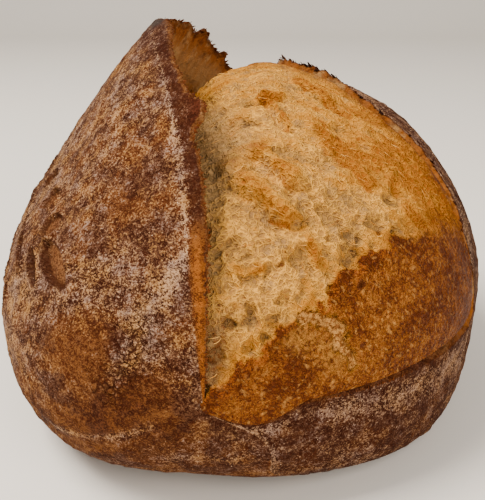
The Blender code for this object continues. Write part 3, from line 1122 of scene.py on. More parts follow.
class ShapeGraph(Graph):
    """A geometry nodes tree with named inputs, applied to one object and then removed."""

    def __init__(self, name: str, inputs: dict[str, float | Object]) -> None:
        """Makes the tree.

        Args:
            name: the tree's name.
            inputs: the named inputs with their values.
        """
        tree = bpy.data.node_groups.new(name, "GeometryNodeTree")
        super().__init__(tree)
        for way in ("INPUT", "OUTPUT"):
            tree.interface.new_socket("Geometry", in_out=way, socket_type="NodeSocketGeometry")
        self.inputs = inputs
        self.keys = {}
        for label, value in inputs.items():
            kind = "NodeSocketObject" if isinstance(value, Object) else "NodeSocketFloat"
            item = tree.interface.new_socket(label, in_out="INPUT", socket_type=kind)
            self.keys[label] = item.identifier
        self.entry = tree.nodes.new("NodeGroupInput")
        self.exit = tree.nodes.new("NodeGroupOutput")

    def given(self, label: str) -> Wire:
        """The named input."""
        return Wire(self, self.entry.outputs[label])

    def surface(self) -> Wire:
        """The geometry that comes in."""
        return Wire(self, self.entry.outputs["Geometry"])

    def shape_of(self, label: str) -> Wire:
        """The geometry of the object given as a named input."""
        return self.add("GeometryNodeObjectInfo", {"Object": self.given(label)}, "Geometry")

    def joined(self, shapes: Iterable[Wire]) -> Wire:
        """Several shapes as one.

        Args:
            shapes: the shapes.

        Returns:
            The shape.
        """
        made = self.tree.nodes.new("GeometryNodeJoinGeometry")
        for shape in shapes:
            self.tree.links.new(shape.socket, made.inputs["Geometry"])
        return Wire(self, made.outputs["Geometry"])

    def position(self) -> Wire:
        """Where each vertex lies."""
        return self.add("GeometryNodeInputPosition", {})

    def xyz(self, x: "Wire | float", y: "Wire | float" = 0.0, z: "Wire | float" = 0.0) -> Wire:
        """A vector from three numbers."""
        return self.add("ShaderNodeCombineXYZ", {"X": x, "Y": y, "Z": z})

    def stored(self, name: str, kind: Kind = Kind.NUMBER) -> Wire:
        """A number or a direction stored on the mesh."""
        return self.add("GeometryNodeInputNamedAttribute", {"Name": name}, "Attribute", data_type=kind.value)

    def direction(self, name: str) -> Wire:
        """A direction stored on the mesh."""
        return self.stored(name, Kind.DIRECTION)

    def keep(self, geometry: Wire, values: dict[str, Wire]) -> Wire:
        """Stores named numbers on the mesh for the finish to read.

        Args:
            geometry: the mesh.
            values: the numbers by name.

        Returns:
            The mesh with the numbers.
        """
        settings = {"data_type": Kind.NUMBER.value, "domain": "POINT"}
        for name, value in values.items():
            inputs = {"Geometry": geometry, "Name": name, "Value": value}
            geometry = self.add("GeometryNodeStoreNamedAttribute", inputs, "Geometry", **settings)
        return geometry

    def moved(self, geometry: Wire, offset: Wire) -> Wire:
        """Moves each vertex by an offset."""
        return self.add("GeometryNodeSetPosition", {"Geometry": geometry, "Offset": offset}, "Geometry")

    def raised(self, geometry: Wire, height: Wire) -> Wire:
        """Moves the mesh out by a height in metres, along its stored outward direction."""
        return self.moved(geometry, self.scaled(self.direction("outward"), height))

    def random_vector(self, low: Sequence[float], high: Sequence[float], seed: int) -> Wire:
        """A random vector for each point."""
        inputs = {0: low, 1: high, "Seed": seed}
        return self.add("FunctionNodeRandomValue", inputs, data_type=Kind.DIRECTION.value)

    def scattered(self, geometry: Wire, density: Wire, seed: int) -> Wire:
        """Points strewn over a surface, so many to a square metre."""
        inputs = {"Mesh": geometry, "Density": density, "Seed": seed}
        return self.add("GeometryNodeDistributePointsOnFaces", inputs, "Points", distribute_method="RANDOM")

    def aimed(self, along: Wire, upward: Wire) -> Wire:
        """A rotation with Z along one direction and X as near as may be to another.

        Args:
            along: where X points.
            upward: where Z points.

        Returns:
            The rotation.
        """
        first = self.add("FunctionNodeAlignRotationToVector", {"Vector": upward}, axis="Z")
        inputs = {"Rotation": first, "Vector": along}
        return self.add("FunctionNodeAlignRotationToVector", inputs, axis="X", pivot_axis="Z")

    def turned(self, rotation: Wire, euler: Wire) -> Wire:
        """A rotation turned further about its own axes."""
        inputs = {"Rotation": rotation, "Rotate By": self.add("FunctionNodeEulerToRotation", {0: euler})}
        return self.add("FunctionNodeRotateRotation", inputs, rotation_space="LOCAL")

    def real(self, geometry: Wire) -> Wire:
        """Copies made into plain meshes."""
        return self.add("GeometryNodeRealizeInstances", {"Geometry": geometry})

    def copies(self, points: Wire, shape: Wire, rotation: Wire, scale: Wire) -> Wire:
        """A real copy of a shape at each point."""
        inputs = {"Points": points, "Instance": shape, "Rotation": rotation, "Scale": scale}
        return self.real(self.add("GeometryNodeInstanceOnPoints", inputs))

    def finish(self, geometry: Wire, material: Material) -> None:
        """Ends the tree: instances become real and everything wears the material."""
        inputs = {"Geometry": self.real(geometry), "Material": material}
        self.feed(self.exit.inputs["Geometry"], self.add("GeometryNodeSetMaterial", inputs))

    def apply(self, thing: Object) -> Object:
        """Runs the tree on an object and leaves it with the plain mesh that comes out.

        Args:
            thing: the object.

        Returns:
            The same object.
        """
        modifier = thing.modifiers.new(self.tree.name, "NODES")
        modifier.node_group = self.tree
        for label, value in self.inputs.items():
            modifier[self.keys[label]] = value
        bpy.context.view_layer.update()
        graph = bpy.context.evaluated_depsgraph_get()
        mesh = bpy.data.meshes.new_from_object(thing.evaluated_get(graph), depsgraph=graph)
        thing.modifiers.remove(modifier)
        old = thing.data
        thing.data = mesh
        bpy.data.meshes.remove(old)
        mesh.name = thing.name
        return thing


class SkinGraph(Graph):
    """A material's tree, with the places and stored values that a baked surface needs."""

    def __init__(self, name: str) -> None:
        """Makes the material with an output and a shader.

        Args:
            name: the material's name.
        """
        self.material = bpy.data.materials.new(name)
        self.material.use_nodes = True
        super().__init__(self.material.node_tree)
        self.shader = self.tree.nodes.new("ShaderNodeBsdfPrincipled")
        output = self.tree.nodes.new("ShaderNodeOutputMaterial")
        self.tree.links.new(self.shader.outputs[0], output.inputs["Surface"])
        self.place = self.add("ShaderNodeTexCoord", {}, "Object")

    def stored(self, name: str) -> Wire:
        """A value stored on the mesh."""
        return self.add("ShaderNodeAttribute", {}, "Fac", attribute_name=name)

    def bumped(self, height: Wire, depth: float, strength: float) -> None:
        """Gives the shader a fine bump of a depth in metres."""
        inputs = {"Strength": strength, "Distance": depth, "Height": height}
        self.feed(self.shader.inputs["Normal"], self.add("ShaderNodeBump", inputs, "Normal"))

    def wear(self, colour: "Wire | Colour", roughness: "Wire | float", gloss: "Wire | float") -> None:
        """Feeds the shader its colour, its roughness and its gloss."""
        for name, value in (("Base Color", colour), ("Roughness", roughness), ("Specular IOR Level", gloss)):
            self.feed(self.shader.inputs[name], value)


@dataclass(frozen=True)
class CrustFinish:
    """Dark baked crust, blistered and crackled, under a dusting of flour, with painted shadow in the sprig's
    cuts.
    """

    deep: Colour = paint(54, 22, 9)
    brown: Colour = paint(90, 56, 36)
    tan: Colour = paint(170, 128, 92)
    amber: Colour = paint(136, 86, 38)
    rust: Colour = paint(84, 38, 14)
    orange: Colour = paint(148, 82, 26)
    plum: Colour = paint(64, 33, 22)
    flour: Colour = paint(186, 142, 102)
    ochre: Colour = paint(172, 122, 66)
    ember: Colour = paint(84, 36, 16)
    russet: Colour = paint(104, 54, 22)
    lilac: Colour = paint(150, 122, 106)
    pith: Colour = paint(92, 50, 26)
    bark: Colour = paint(146, 96, 56)
    straw: Colour = paint(160, 110, 62)
    pale: Colour = paint(190, 146, 88)
    ash: Colour = paint(62, 52, 46)
    roughness: float = 0.7
    powder_roughness: float = 0.25
    gloss: float = 0.03
    broad_size: float = 0.016
    cloud_size: float = 0.0090
    hue_size: float = 0.0070
    blotch_size: float = 0.0034
    streak_size: float = 0.0028
    vein_size: float = 0.0023
    crack_size: float = 0.0021
    mottle_size: float = 0.00080
    grain_size: float = 0.00042
    bump_depth: float = 0.0009
    bump_strength: float = 0.9

    def material(self) -> Material:
        """The crust's material.

        Returns:
            The material.
        """
        skin = SkinGraph("floured_crust")
        place = skin.wander(skin.place, 0.0024, 0.0010)
        broad = skin.noise(place, self.broad_size, 3.0, 0.55)
        cloud = skin.noise(skin.offset(place, (0.31, 0.17, 0.23)), self.cloud_size, 4.0, 0.6)
        hue = skin.noise(skin.offset(place, (0.7, 0.4, 0.1)), self.hue_size, 4.0, 0.65)
        blotch = skin.noise(place, self.blotch_size, 4.0, 0.65)
        mottle = skin.noise(place, self.mottle_size, 3.0, 0.7)
        grain = skin.noise(skin.place, self.grain_size, 2.0, 0.65)
        vein = skin.ridged(place, self.vein_size, 4.0, 0.62).rise(0.86, 0.98) * blotch.rise(0.42, 0.56)
        crack = (1 - skin.walls(place, self.crack_size).rise(0.02, 0.15)) * skin.stored("cracked")
        bare, dusk, ruddy, cut = (skin.stored(name) for name in ("bare", "dusk", "ruddy", "cut"))
        cover = skin.stored("flour") + (broad - 0.5) * 1.0 + (cloud - 0.5) * 0.9
        fine = (grain - 0.5) * 1.8 + (mottle - 0.5) * 2.1 - (vein - 0.15) * 0.36
        tone = fine + 0.46 + (blotch - 0.5) * -1.3
        warm = (cloud * 1.4 - cover * 0.25 + bare * 0.5).rise(0.54, 0.72)
        light = (tone + (cover - 0.42) * 0.65 - bare * 0.8 - dusk * 0.12 - ruddy * 0.12).rise(0.44, 1.04)
        powder = (cover * 1.15 - 0.66 + fine * 0.95).rise(0.06, 0.95) * (1 - cut * 0.9)
        grains = skin.tint(hue.rise(0.50, 0.62), self.tan, self.ochre)
        grains = skin.tint(((0.50 - hue).rise(0.0, 0.10) + dusk * 0.45).clamped(), grains, self.lilac)
        pith = (fine + 0.5 + (blotch - 0.5) * 1.2).rise(0.2, 1.0)
        coats = (
            (warm * 0.7, skin.tint(tone.rise(0.15, 0.85), self.rust, self.amber)),
            (ruddy * 0.8, skin.tint(tone.rise(0.30, 0.95), self.deep, self.russet)),
            (bare * 0.85, skin.tint(tone.rise(0.0, 0.70), self.rust, self.orange)),
            (dusk * 0.78, skin.tint(tone.rise(0.2, 0.9), self.deep, self.plum)),
            (light * (0.85 - dusk * 0.12), grains),
            (powder * (0.9 - dusk * 0.3), self.flour),
            (crack * 0.85, self.deep),
            (cut * 0.85, skin.tint(pith, self.pith, self.bark)),
            # Painted shadow in the sprig's cuts.
            (skin.stored("shadow") * 0.85, self.deep),
            (skin.stored("inner"), self.inside(skin, cloud, blotch)),
            (skin.stored("scorch") * mottle.rise(0.2, 0.5) * 0.9, self.deep),
            (skin.stored("flake") * 0.9, skin.tint(tone.rise(0.25, 1.05), self.deep, self.ember)),
            (skin.stored("ash") * 0.85, self.ash),
        )
        colour = skin.coated(skin.tint(tone.rise(0.10, 0.66), self.deep, self.brown), coats)
        skin.wear(colour, (self.roughness + self.powder_roughness * powder).clamped(), self.gloss)
        relief = mottle * 1.2 + grain * 0.6 + blotch * 0.6 - crack * 0.5 - vein * 0.3
        skin.bumped(relief, self.bump_depth, self.bump_strength)
        return skin.material

    def inside(self, skin: SkinGraph, cloud: Wire, blotch: Wire) -> Wire:
        """The colour of the ear's torn inner face.

        Args:
            skin: the graph.
            cloud: noise in broad clouds.
            blotch: noise in blotches.

        Returns:
            The colour.
        """
        streak = skin.noise(skin.stretched(skin.place, 0.35, 1.6, 0.2), self.streak_size, 3.0, 0.6)
        heart = skin.stored("heart")
        face = skin.tint(streak.rise(0.30, 0.72) * (0.3 + heart * 0.7), self.orange, self.straw)
        coats = (
            (cloud.rise(0.52, 0.62) * 0.6, self.pale),
            (blotch.rise(0.50, 0.66) * 0.6, self.rust),
            (heart * 0.4, self.pale),
        )
        return skin.coated(face, coats)


@dataclass(frozen=True)
class CrumbFinish:
    """Pale torn crumb that turns golden and then into glossy brown skin low on the right, with shade painted
    in its pores, holes, pocket edges and creases, beside the ear and at its front end.
    """

    cream: Colour = paint(220, 156, 62)
    straw: Colour = paint(158, 108, 50)
    # Painted shade colour for the pores, holes, torn pocket and the crumb's front end.
    shade: Colour = paint(108, 82, 54)
    membrane: Colour = paint(156, 116, 70)
    gold: Colour = paint(186, 120, 32)
    toast: Colour = paint(134, 70, 14)
    skin: Colour = paint(120, 64, 18)
    dark: Colour = paint(80, 34, 8)
    light: Colour = paint(160, 100, 40)
    fleck: Colour = paint(190, 134, 68)
    ember: Colour = paint(142, 68, 12)
    # Painted shade: this colour and the next darken the crumb beside the ear, where the ear shades it.
    hollow: Colour = paint(150, 120, 84)
    groove_shade: Colour = paint(104, 84, 56)
    honey: Colour = paint(184, 126, 54)
    bran: Colour = paint(84, 40, 18)
    ragged: Colour = paint(206, 146, 76)
    rind: Colour = paint(126, 72, 30)
    broad_size: float = 0.012
    patch_size: float = 0.0075
    pane_size: float = 0.0048
    streak_size: float = 0.0026
    bran_size: float = 0.0022
    net_size: float = 0.0017
    mottle_size: float = 0.0015
    grit_size: float = 0.00095
    fleck_size: float = 0.00085
    wisp_size: float = 0.0007
    grain_size: float = 0.0005
    bump_depth: float = 0.0009
    bump_strength: float = 0.85

    def material(self) -> Material:
        """The crumb's material.

        Returns:
            The material.
        """
        skin = SkinGraph("burst_crumb")
        place = skin.wander(skin.place, 0.0026, 0.0018)
        flow = skin.stretched(place, 0.38, 1.15, 0.38)
        wisp = skin.ridged(flow, self.wisp_size, 3.0, 0.6)
        grain = skin.noise(skin.place, self.grain_size, 2.0, 0.6)
        mottle = skin.noise(place, self.mottle_size, 3.0, 0.68)
        net = 1 - skin.walls(place, self.net_size).rise(0.02, 0.20)
        fibre = (wisp * 0.30 + net * 0.62 + (grain - 0.5) * 1.1 + (mottle - 0.5) * 1.9).rise(-0.05, 0.85)
        crumb = self.torn_crumb(skin, place, fibre, mottle)
        baked = self.baked_skin(skin, place, flow, grain, mottle)
        brown = skin.stored("skin")
        shown = skin.tint(brown, crumb, baked)
        skin.wear(shown, skin.blend(brown, 0.75, 0.45), skin.blend(brown, 0.02, 0.04))
        relief = wisp * 0.30 + net * 0.65 + grain * 0.5 + mottle * 0.9
        skin.bumped(relief, self.bump_depth, self.bump_strength)
        return skin.material

    def torn_crumb(self, skin: SkinGraph, place: Wire, fibre: Wire, mottle: Wire) -> Wire:
        """The colour of the open crumb, from cream to toasted, with painted shade in the pores, holes, pocket
        edges and creases, beside the ear and at the front end.

        Args:
            skin: the graph.
            place: the places.
            fibre: how pale the fibres are.
            mottle: noise in small patches.

        Returns:
            The colour.
        """
        streak = skin.noise(skin.stretched(place, 0.26, 1.1, 0.26), self.streak_size, 4.0, 0.65)
        broad = skin.noise(place, self.broad_size, 4.0, 0.6)
        grit = skin.noise(skin.place, self.grit_size, 2.0, 0.6)
        pit, torn = skin.stored("pit"), skin.stored("torn")
        warm = skin.stored("golden") + (broad - 0.5) * 2.2 + (streak - 0.5) * 3.0 - pit * 0.35
        warm = warm + (mottle - 0.5) * 1.0
        pane, pane_chance = skin.cells(place, self.pane_size)
        window = (0.52 - pane).rise(0.0, 0.20) * pane_chance.rise(0.42, 0.60)
        speck, chance = skin.cells(place, self.bran_size)
        # Painted shadow: highest along the pocket's torn edges.
        crevice_shadow = (torn * (1 - torn) * 4.0).clamped()
        coats = (
            (window * (0.75 - fibre * 0.35), self.membrane),
            # Painted shade in the pores, holes and torn pocket.
            ((pit * 0.85 + torn * 0.3).clamped(), self.shade),
            (warm.rise(0.25, 0.85) * 0.75, self.gold),
            (warm.rise(0.80, 1.35) * (0.95 - fibre * 0.40), self.toast),
            # Painted shadow line in front of each torn ridge, in a toasted brown.
            (skin.stored("crease") * 0.8, self.toast),
            # Painted shade on the crumb beside the ear, where the ear shades it.
            (skin.stored("groove") * 0.72, skin.tint(mottle.rise(0.32, 0.66), self.groove_shade, self.hollow)),
            # Painted shade in the hollow at the crumb's front end, by the ear.
            (skin.stored("dark_end") * 0.85, skin.tint(mottle.rise(0.36, 0.62), self.bran, self.shade)),
            ((0.22 - speck).rise(0.0, 0.08) * chance.rise(0.80, 0.84) * 0.75, self.bran),
            ((torn * 2.5).clamped() * 0.9, skin.tint(grit.rise(0.36, 0.60), self.rind, self.ragged)),
            # Painted shadow along the torn pocket's edges, under the lifted skin.
            (crevice_shadow * mottle.rise(0.30, 0.55) * 0.75, self.dark),
            (skin.stored("spot") * 0.85, self.bran),
        )
        return skin.coated(skin.tint(fibre, self.straw, self.cream), coats)

    def baked_skin(self, skin: SkinGraph, place: Wire, flow: Wire, grain: Wire, mottle: Wire) -> Wire:
        """The colour of the browned skin low on the right.

        Args:
            skin: the graph.
            place: the places.
            flow: the stretched places.
            grain: the finest noise.
            mottle: noise in small patches.

        Returns:
            The colour.
        """
        bake = skin.stored("bake")
        patch = skin.noise(place, self.patch_size, 3.0, 0.6)
        fleck = skin.noise(skin.offset(flow, (0.4, 0.1, 0.2)), self.fleck_size)
        tone = 0.48 + (mottle - 0.5) * 1.8 + (grain - 0.5) * 2.0 - (patch - 0.5) * 1.9 - bake * 0.28
        coats = (
            (tone.rise(0.50, 1.0) * 0.9, self.light),
            (skin.stored("glow") * mottle.rise(0.30, 0.65) * 0.6, self.honey),
            (fleck.rise(0.56, 0.72) * (0.60 - bake * 0.30), self.fleck),
            (skin.stored("edge") * 0.7, skin.tint(tone.rise(0.15, 0.75), self.dark, self.ember)),
            (skin.stored("rim") * 0.7, self.gold),
            (skin.stored("spot") * 0.85, self.bran),
        )
        return skin.coated(skin.tint(tone.rise(0.05, 0.55), self.dark, self.skin), coats)


@dataclass(frozen=True)
class StrandFinish:
    """Dried strands of gluten, pale and slightly shiny."""

    pale: Colour = paint(222, 164, 84)
    warm: Colour = paint(190, 120, 40)
    roughness: float = 0.6
    gloss: float = 0.05

    def material(self) -> Material:
        """The strands' material.

        Returns:
            The material.
        """
        skin = SkinGraph("gluten_strands")
        tone = skin.noise(skin.place, 0.008, 2.0) + (skin.noise(skin.place, 0.0012, 1.0) - 0.5) * 0.5
        skin.wear(skin.tint(tone.rise(0.42, 0.66), self.pale, self.warm), self.roughness, self.gloss)
        return skin.material


@dataclass(frozen=True)
class ShardFinish:
    """Thin torn flakes of crust, from orange-brown to burnt."""

    rust: Colour = paint(98, 48, 18)
    burnt: Colour = paint(36, 18, 12)
    roughness: float = 0.7
    gloss: float = 0.03

    def material(self) -> Material:
        """The shards' material.

        Returns:
            The material.
        """
        skin = SkinGraph("torn_shards")
        mottle = skin.noise(skin.place, 0.0011, 3.0, 0.6)
        share = (skin.stored("char") + (mottle - 0.5) * 1.1).clamped()
        skin.wear(skin.tint(share, self.rust, self.burnt), self.roughness, self.gloss)
        skin.bumped(mottle, 0.0006, 0.7)
        return skin.material


@dataclass(frozen=True)
class FlourFinish:
    """Grains of flour."""

    white: Colour = paint(214, 176, 140)
    brown: Colour = paint(166, 120, 80)
    roughness: float = 0.95
    gloss: float = 0.5

    def material(self) -> Material:
        """The grains' material.

        Returns:
            The material.
        """
        skin = SkinGraph("flour_dust")
        tone = skin.noise(skin.place, 0.0012, 2.0, 0.6)
        skin.wear(skin.tint(tone.rise(0.45, 0.62), self.white, self.brown), self.roughness, self.gloss)
        return skin.material


@dataclass(frozen=True)
class FloorFinish:
    """Plain pale floor."""

    tone: Colour = paint(226, 216, 202)
    roughness: float = 0.7
    gloss: float = 0.5

    def material(self) -> Material:
        """The floor's material.

        Returns:
            The material.
        """
        skin = SkinGraph("pale_floor")
        skin.wear(self.tone, self.roughness, self.gloss)
        return skin.material


@dataclass
class CrustShell:
    """The left crust with the ear, and the whole underside up to the right crust's lower edge."""

    rows: int = 348
    outer: int = 248
    tip: int = 5
    inside: int = 28
    tip_bulge: float = 0.0011
    blister_size: float = 0.0034
    bubble_size: float = 0.0085
    crackle_size: float = 0.0036
    grain_size: float = 0.0030
    crowding: Track = (
        (0.0, 0.30), (0.20, 0.35), (0.40, 0.70), (0.60, 0.90), (0.64, 2.10), (0.83, 2.10), (0.89, 0.90),
        (1.0, 1.50),
    )
    finish: CrustFinish = CrustFinish()

    def patch(self) -> Patch:
        """The grid of the crust, from its lower right edge under the loaf and up to the groove.

        Returns:
            The grid.
        """
        station = rows(self.rows)
        shift = TEAR.shift(station)
        start = lower_edge(station) + 2 * math.pi
        share = spaced(self.crowding, self.outer)[None]
        ear = DOUGH.ear_angle(station)
        outer_angle = start + (ear - start) * share - shift * smooth_step(share, 0.93, 1.0)
        outer = DOUGH.crust(station, outer_angle)
        inner_share = np.linspace(1, 0, self.inside)[None] + 0 * station
        inner = DOUGH.inner(station, inner_share, shift)
        edge, edge_inner = outer[:, -1:], inner[:, :1]
        _, along = DOUGH.crust_inward(station, outer_angle[:, -1:])
        turn = np.linspace(0, math.pi, self.tip + 2)[None, 1:-1, None]
        middle, half = (edge + edge_inner) / 2, (edge - edge_inner) / 2
        tip = middle + half * np.cos(turn) - self.tip_bulge * along * np.sin(turn)
        flat = np.concatenate([outer, tip, inner], axis=1)
        tip_angle = np.repeat(ear, self.tip, axis=1)
        inner_angle = ear + DOUGH.ear_fold * (1 - inner_share)
        angle = np.concatenate([outer_angle, tip_angle, inner_angle], axis=1)
        points = DOUGH.place(station + 0 * angle, flat)
        core, ends = core_and_ends(station)
        patch = Patch("crust_and_ear", station, angle, points, core, ends)
        self.add_values(patch)
        return patch

    def add_values(self, patch: Patch) -> None:
        """Adds the cuts' relief and the values that the relief and the finish read.

        Args:
            patch: the grid.
        """
        points = patch.points
        degrees, around = patch.turns()
        columns = patch.columns()
        depth = np.clip((columns - self.outer - self.tip) / self.inside, 0, 1)
        is_outer = (columns < self.outer) * 1.0
        is_inner = smooth_step(columns, self.outer, self.outer + self.tip)
        from_edge = around - np.degrees(DOUGH.ear_angle(patch.station))
        seam = 360 + np.degrees(lower_edge(patch.station))
        bare = smooth_fall(from_edge, 3, 8) * smooth_fall(degrees, 22, 34)
        foot = smooth_step(around, 205, 216) * smooth_fall(around, seam - 1, seam)
        foot *= smooth_fall(degrees, 36, 60)
        dusk = smooth_fall(from_edge, 3, 6) * smooth_step(degrees, 24, 36) + 0.35 * foot
        flour, ruddy = self.dusting(patch)
        flour += 0.10 * foot
        tip = (columns >= self.outer - 3) & (columns < self.outer + self.tip + 1)
        near_edge = np.clip(smooth_fall(from_edge, -2, 2) * is_outer + tip * 1.0, 0, 1)
        flake = nearness(points, on_crust(FLAKE[0]), FLAKE[1])
        knob = nearness(points, on_crust(KNOB[0]), KNOB[1])
        peak = np.exp(-(((degrees - 87) / 6) ** 2))
        patch.values = {
            "flour": flour * (1 - 0.8 * bare) * (1 - 0.25 * dusk) * is_outer,
            "bare": bare * is_outer,
            "ruddy": ruddy * is_outer,
            "heart": is_inner * smooth_step(depth, 0.06, 0.30) * smooth_fall(depth, 0.45, 0.70),
            "dusk": dusk * is_outer,
            "inner": is_inner * smooth_step(degrees, 0, 6),
            "scorch": near_edge * (0.35 + 0.3 * smooth_step(degrees, 96, 104)),
            "flake": np.clip(1.4 * flake * is_outer, 0, 1),
            "cracked": nearness(points, on_crust(CRACKED[0]), CRACKED[1]) * is_outer,
            "ash": np.clip(near_edge * peak + 1.5 * knob * is_outer, 0, 1),
            "calm": patch.calm(4, 5) * patch.off_floor(),
            **self.cuts(points, is_outer),
        }

    def cuts(self, points: Array, is_outer: Array) -> dict[str, Array]:
        """How deep and how open the sprig's cuts are, and their painted shadow.

        Args:
            points: places on the loaf.
            is_outer: 1 on the outer face.

        Returns:
            The three values by name.
        """
        carved, opened, shadow = (np.zeros_like(is_outer) for _ in range(3))
        for cut in SPRIG:
            height, open_share, dark = cut.relief(points)
            carved += height * is_outer
            opened = np.maximum(opened, open_share * is_outer)
            shadow = np.maximum(shadow, dark * is_outer)
        return {"carved": carved, "cut": opened, "shadow": shadow}

    def dusting(self, patch: Patch) -> tuple[Array, Array]:
        """How much flour lies on the crust, and how ruddy it is.

        Args:
            patch: the grid.

        Returns:
            The flour, and how ruddy, from 0 to 1.
        """
        points = patch.points
        degrees, around = patch.turns()
        flour = 0.40 + 0.12 * smooth_step(around, 116, 136) * smooth_fall(around, 180, 196)
        flour += 0.10 * smooth_step(degrees, 56, 72) * smooth_fall(around, 116, 126)
        flour -= 0.20 * smooth_fall(degrees, 18, 36) * smooth_step(around, 130, 150)
        for track, width, amount in FLOUR_BANDS:
            flour += amount * nearness(points, on_crust(track), width)
        flour += 0.18 * smooth_step(around, 145, 185) * smooth_step(degrees, 30, 70)
        ruddy = np.zeros_like(degrees)
        for station, angle, radius, amount, red in BLEMISHES:
            near = nearness(points, on_crust(dot(station, angle)), radius)
            flour += amount * near
            ruddy = np.maximum(ruddy, red * near)
        flour -= 0.30 * smooth_step(around, 176, 196) * smooth_fall(around, 204, 215)
        return flour, ruddy

    def relief(self, material: Material) -> ShapeGraph:
        """Blisters, crackle and the leaf cuts.

        Args:
            material: what the piece wears.

        Returns:
            The tree.
        """
        inputs = {"Blister": 0.00030, "Bubble": 0.00034, "Crackle": 0.00050, "Grain": 0.00036}
        shape = ShapeGraph("crust_relief", inputs)
        place = shape.position()
        warped = shape.wander(place, 0.006, 0.004)
        small, chance = shape.cells(warped, self.blister_size)
        blister = (0.60 - small).rise(0.0, 0.45) * chance.rise(0.3, 0.9)
        wide, wide_chance = shape.cells(warped, self.bubble_size)
        bubble = (0.48 - wide).rise(0.0, 0.4) * wide_chance.rise(0.62, 0.9)
        crackle = (0.12 - shape.walls(warped, self.crackle_size)).rise(0.0, 0.10) * shape.stored("cracked")
        rough = shape.noise(place, self.grain_size, 3.0, 0.6) - 0.5
        height = shape.given("Blister") * blister + shape.given("Bubble") * bubble
        height = height - shape.given("Crackle") * crackle
        height = height + shape.given("Grain") * rough * (2.0 + shape.stored("flake") * 5.0)
        height = height * (1 - shape.stored("cut")) * shape.stored("calm") + shape.stored("carved")
        shape.finish(shape.raised(shape.surface(), height), material)
        return shape

    def build(self, shift: Array) -> Object:
        """Makes the piece, moved onto the frame by shift."""
        return self.relief(self.finish.material()).apply(self.patch().moved(shift).mesh_object())


def lower_edge(station: Array) -> Array:
    """Angle at which the floured right side ends below, at each station."""
    return np.radians(-60 + 28 * smooth_fall(np.degrees(station), 4, 22))


def core_and_ends(station: Array) -> tuple[Array, Array]:
    """Points on the line between the score's ends, inside the loaf, and the two ends.

    Args:
        station: the rows' stations, as a column.

    Returns:
        One inner point for each row, and the front and back end points.
    """
    inside = DOUGH.place(station[:, 0], np.zeros((len(station), 2)))
    ends = DOUGH.place(np.array([0.0, math.pi]), np.zeros((2, 2)))
    return inside, ends


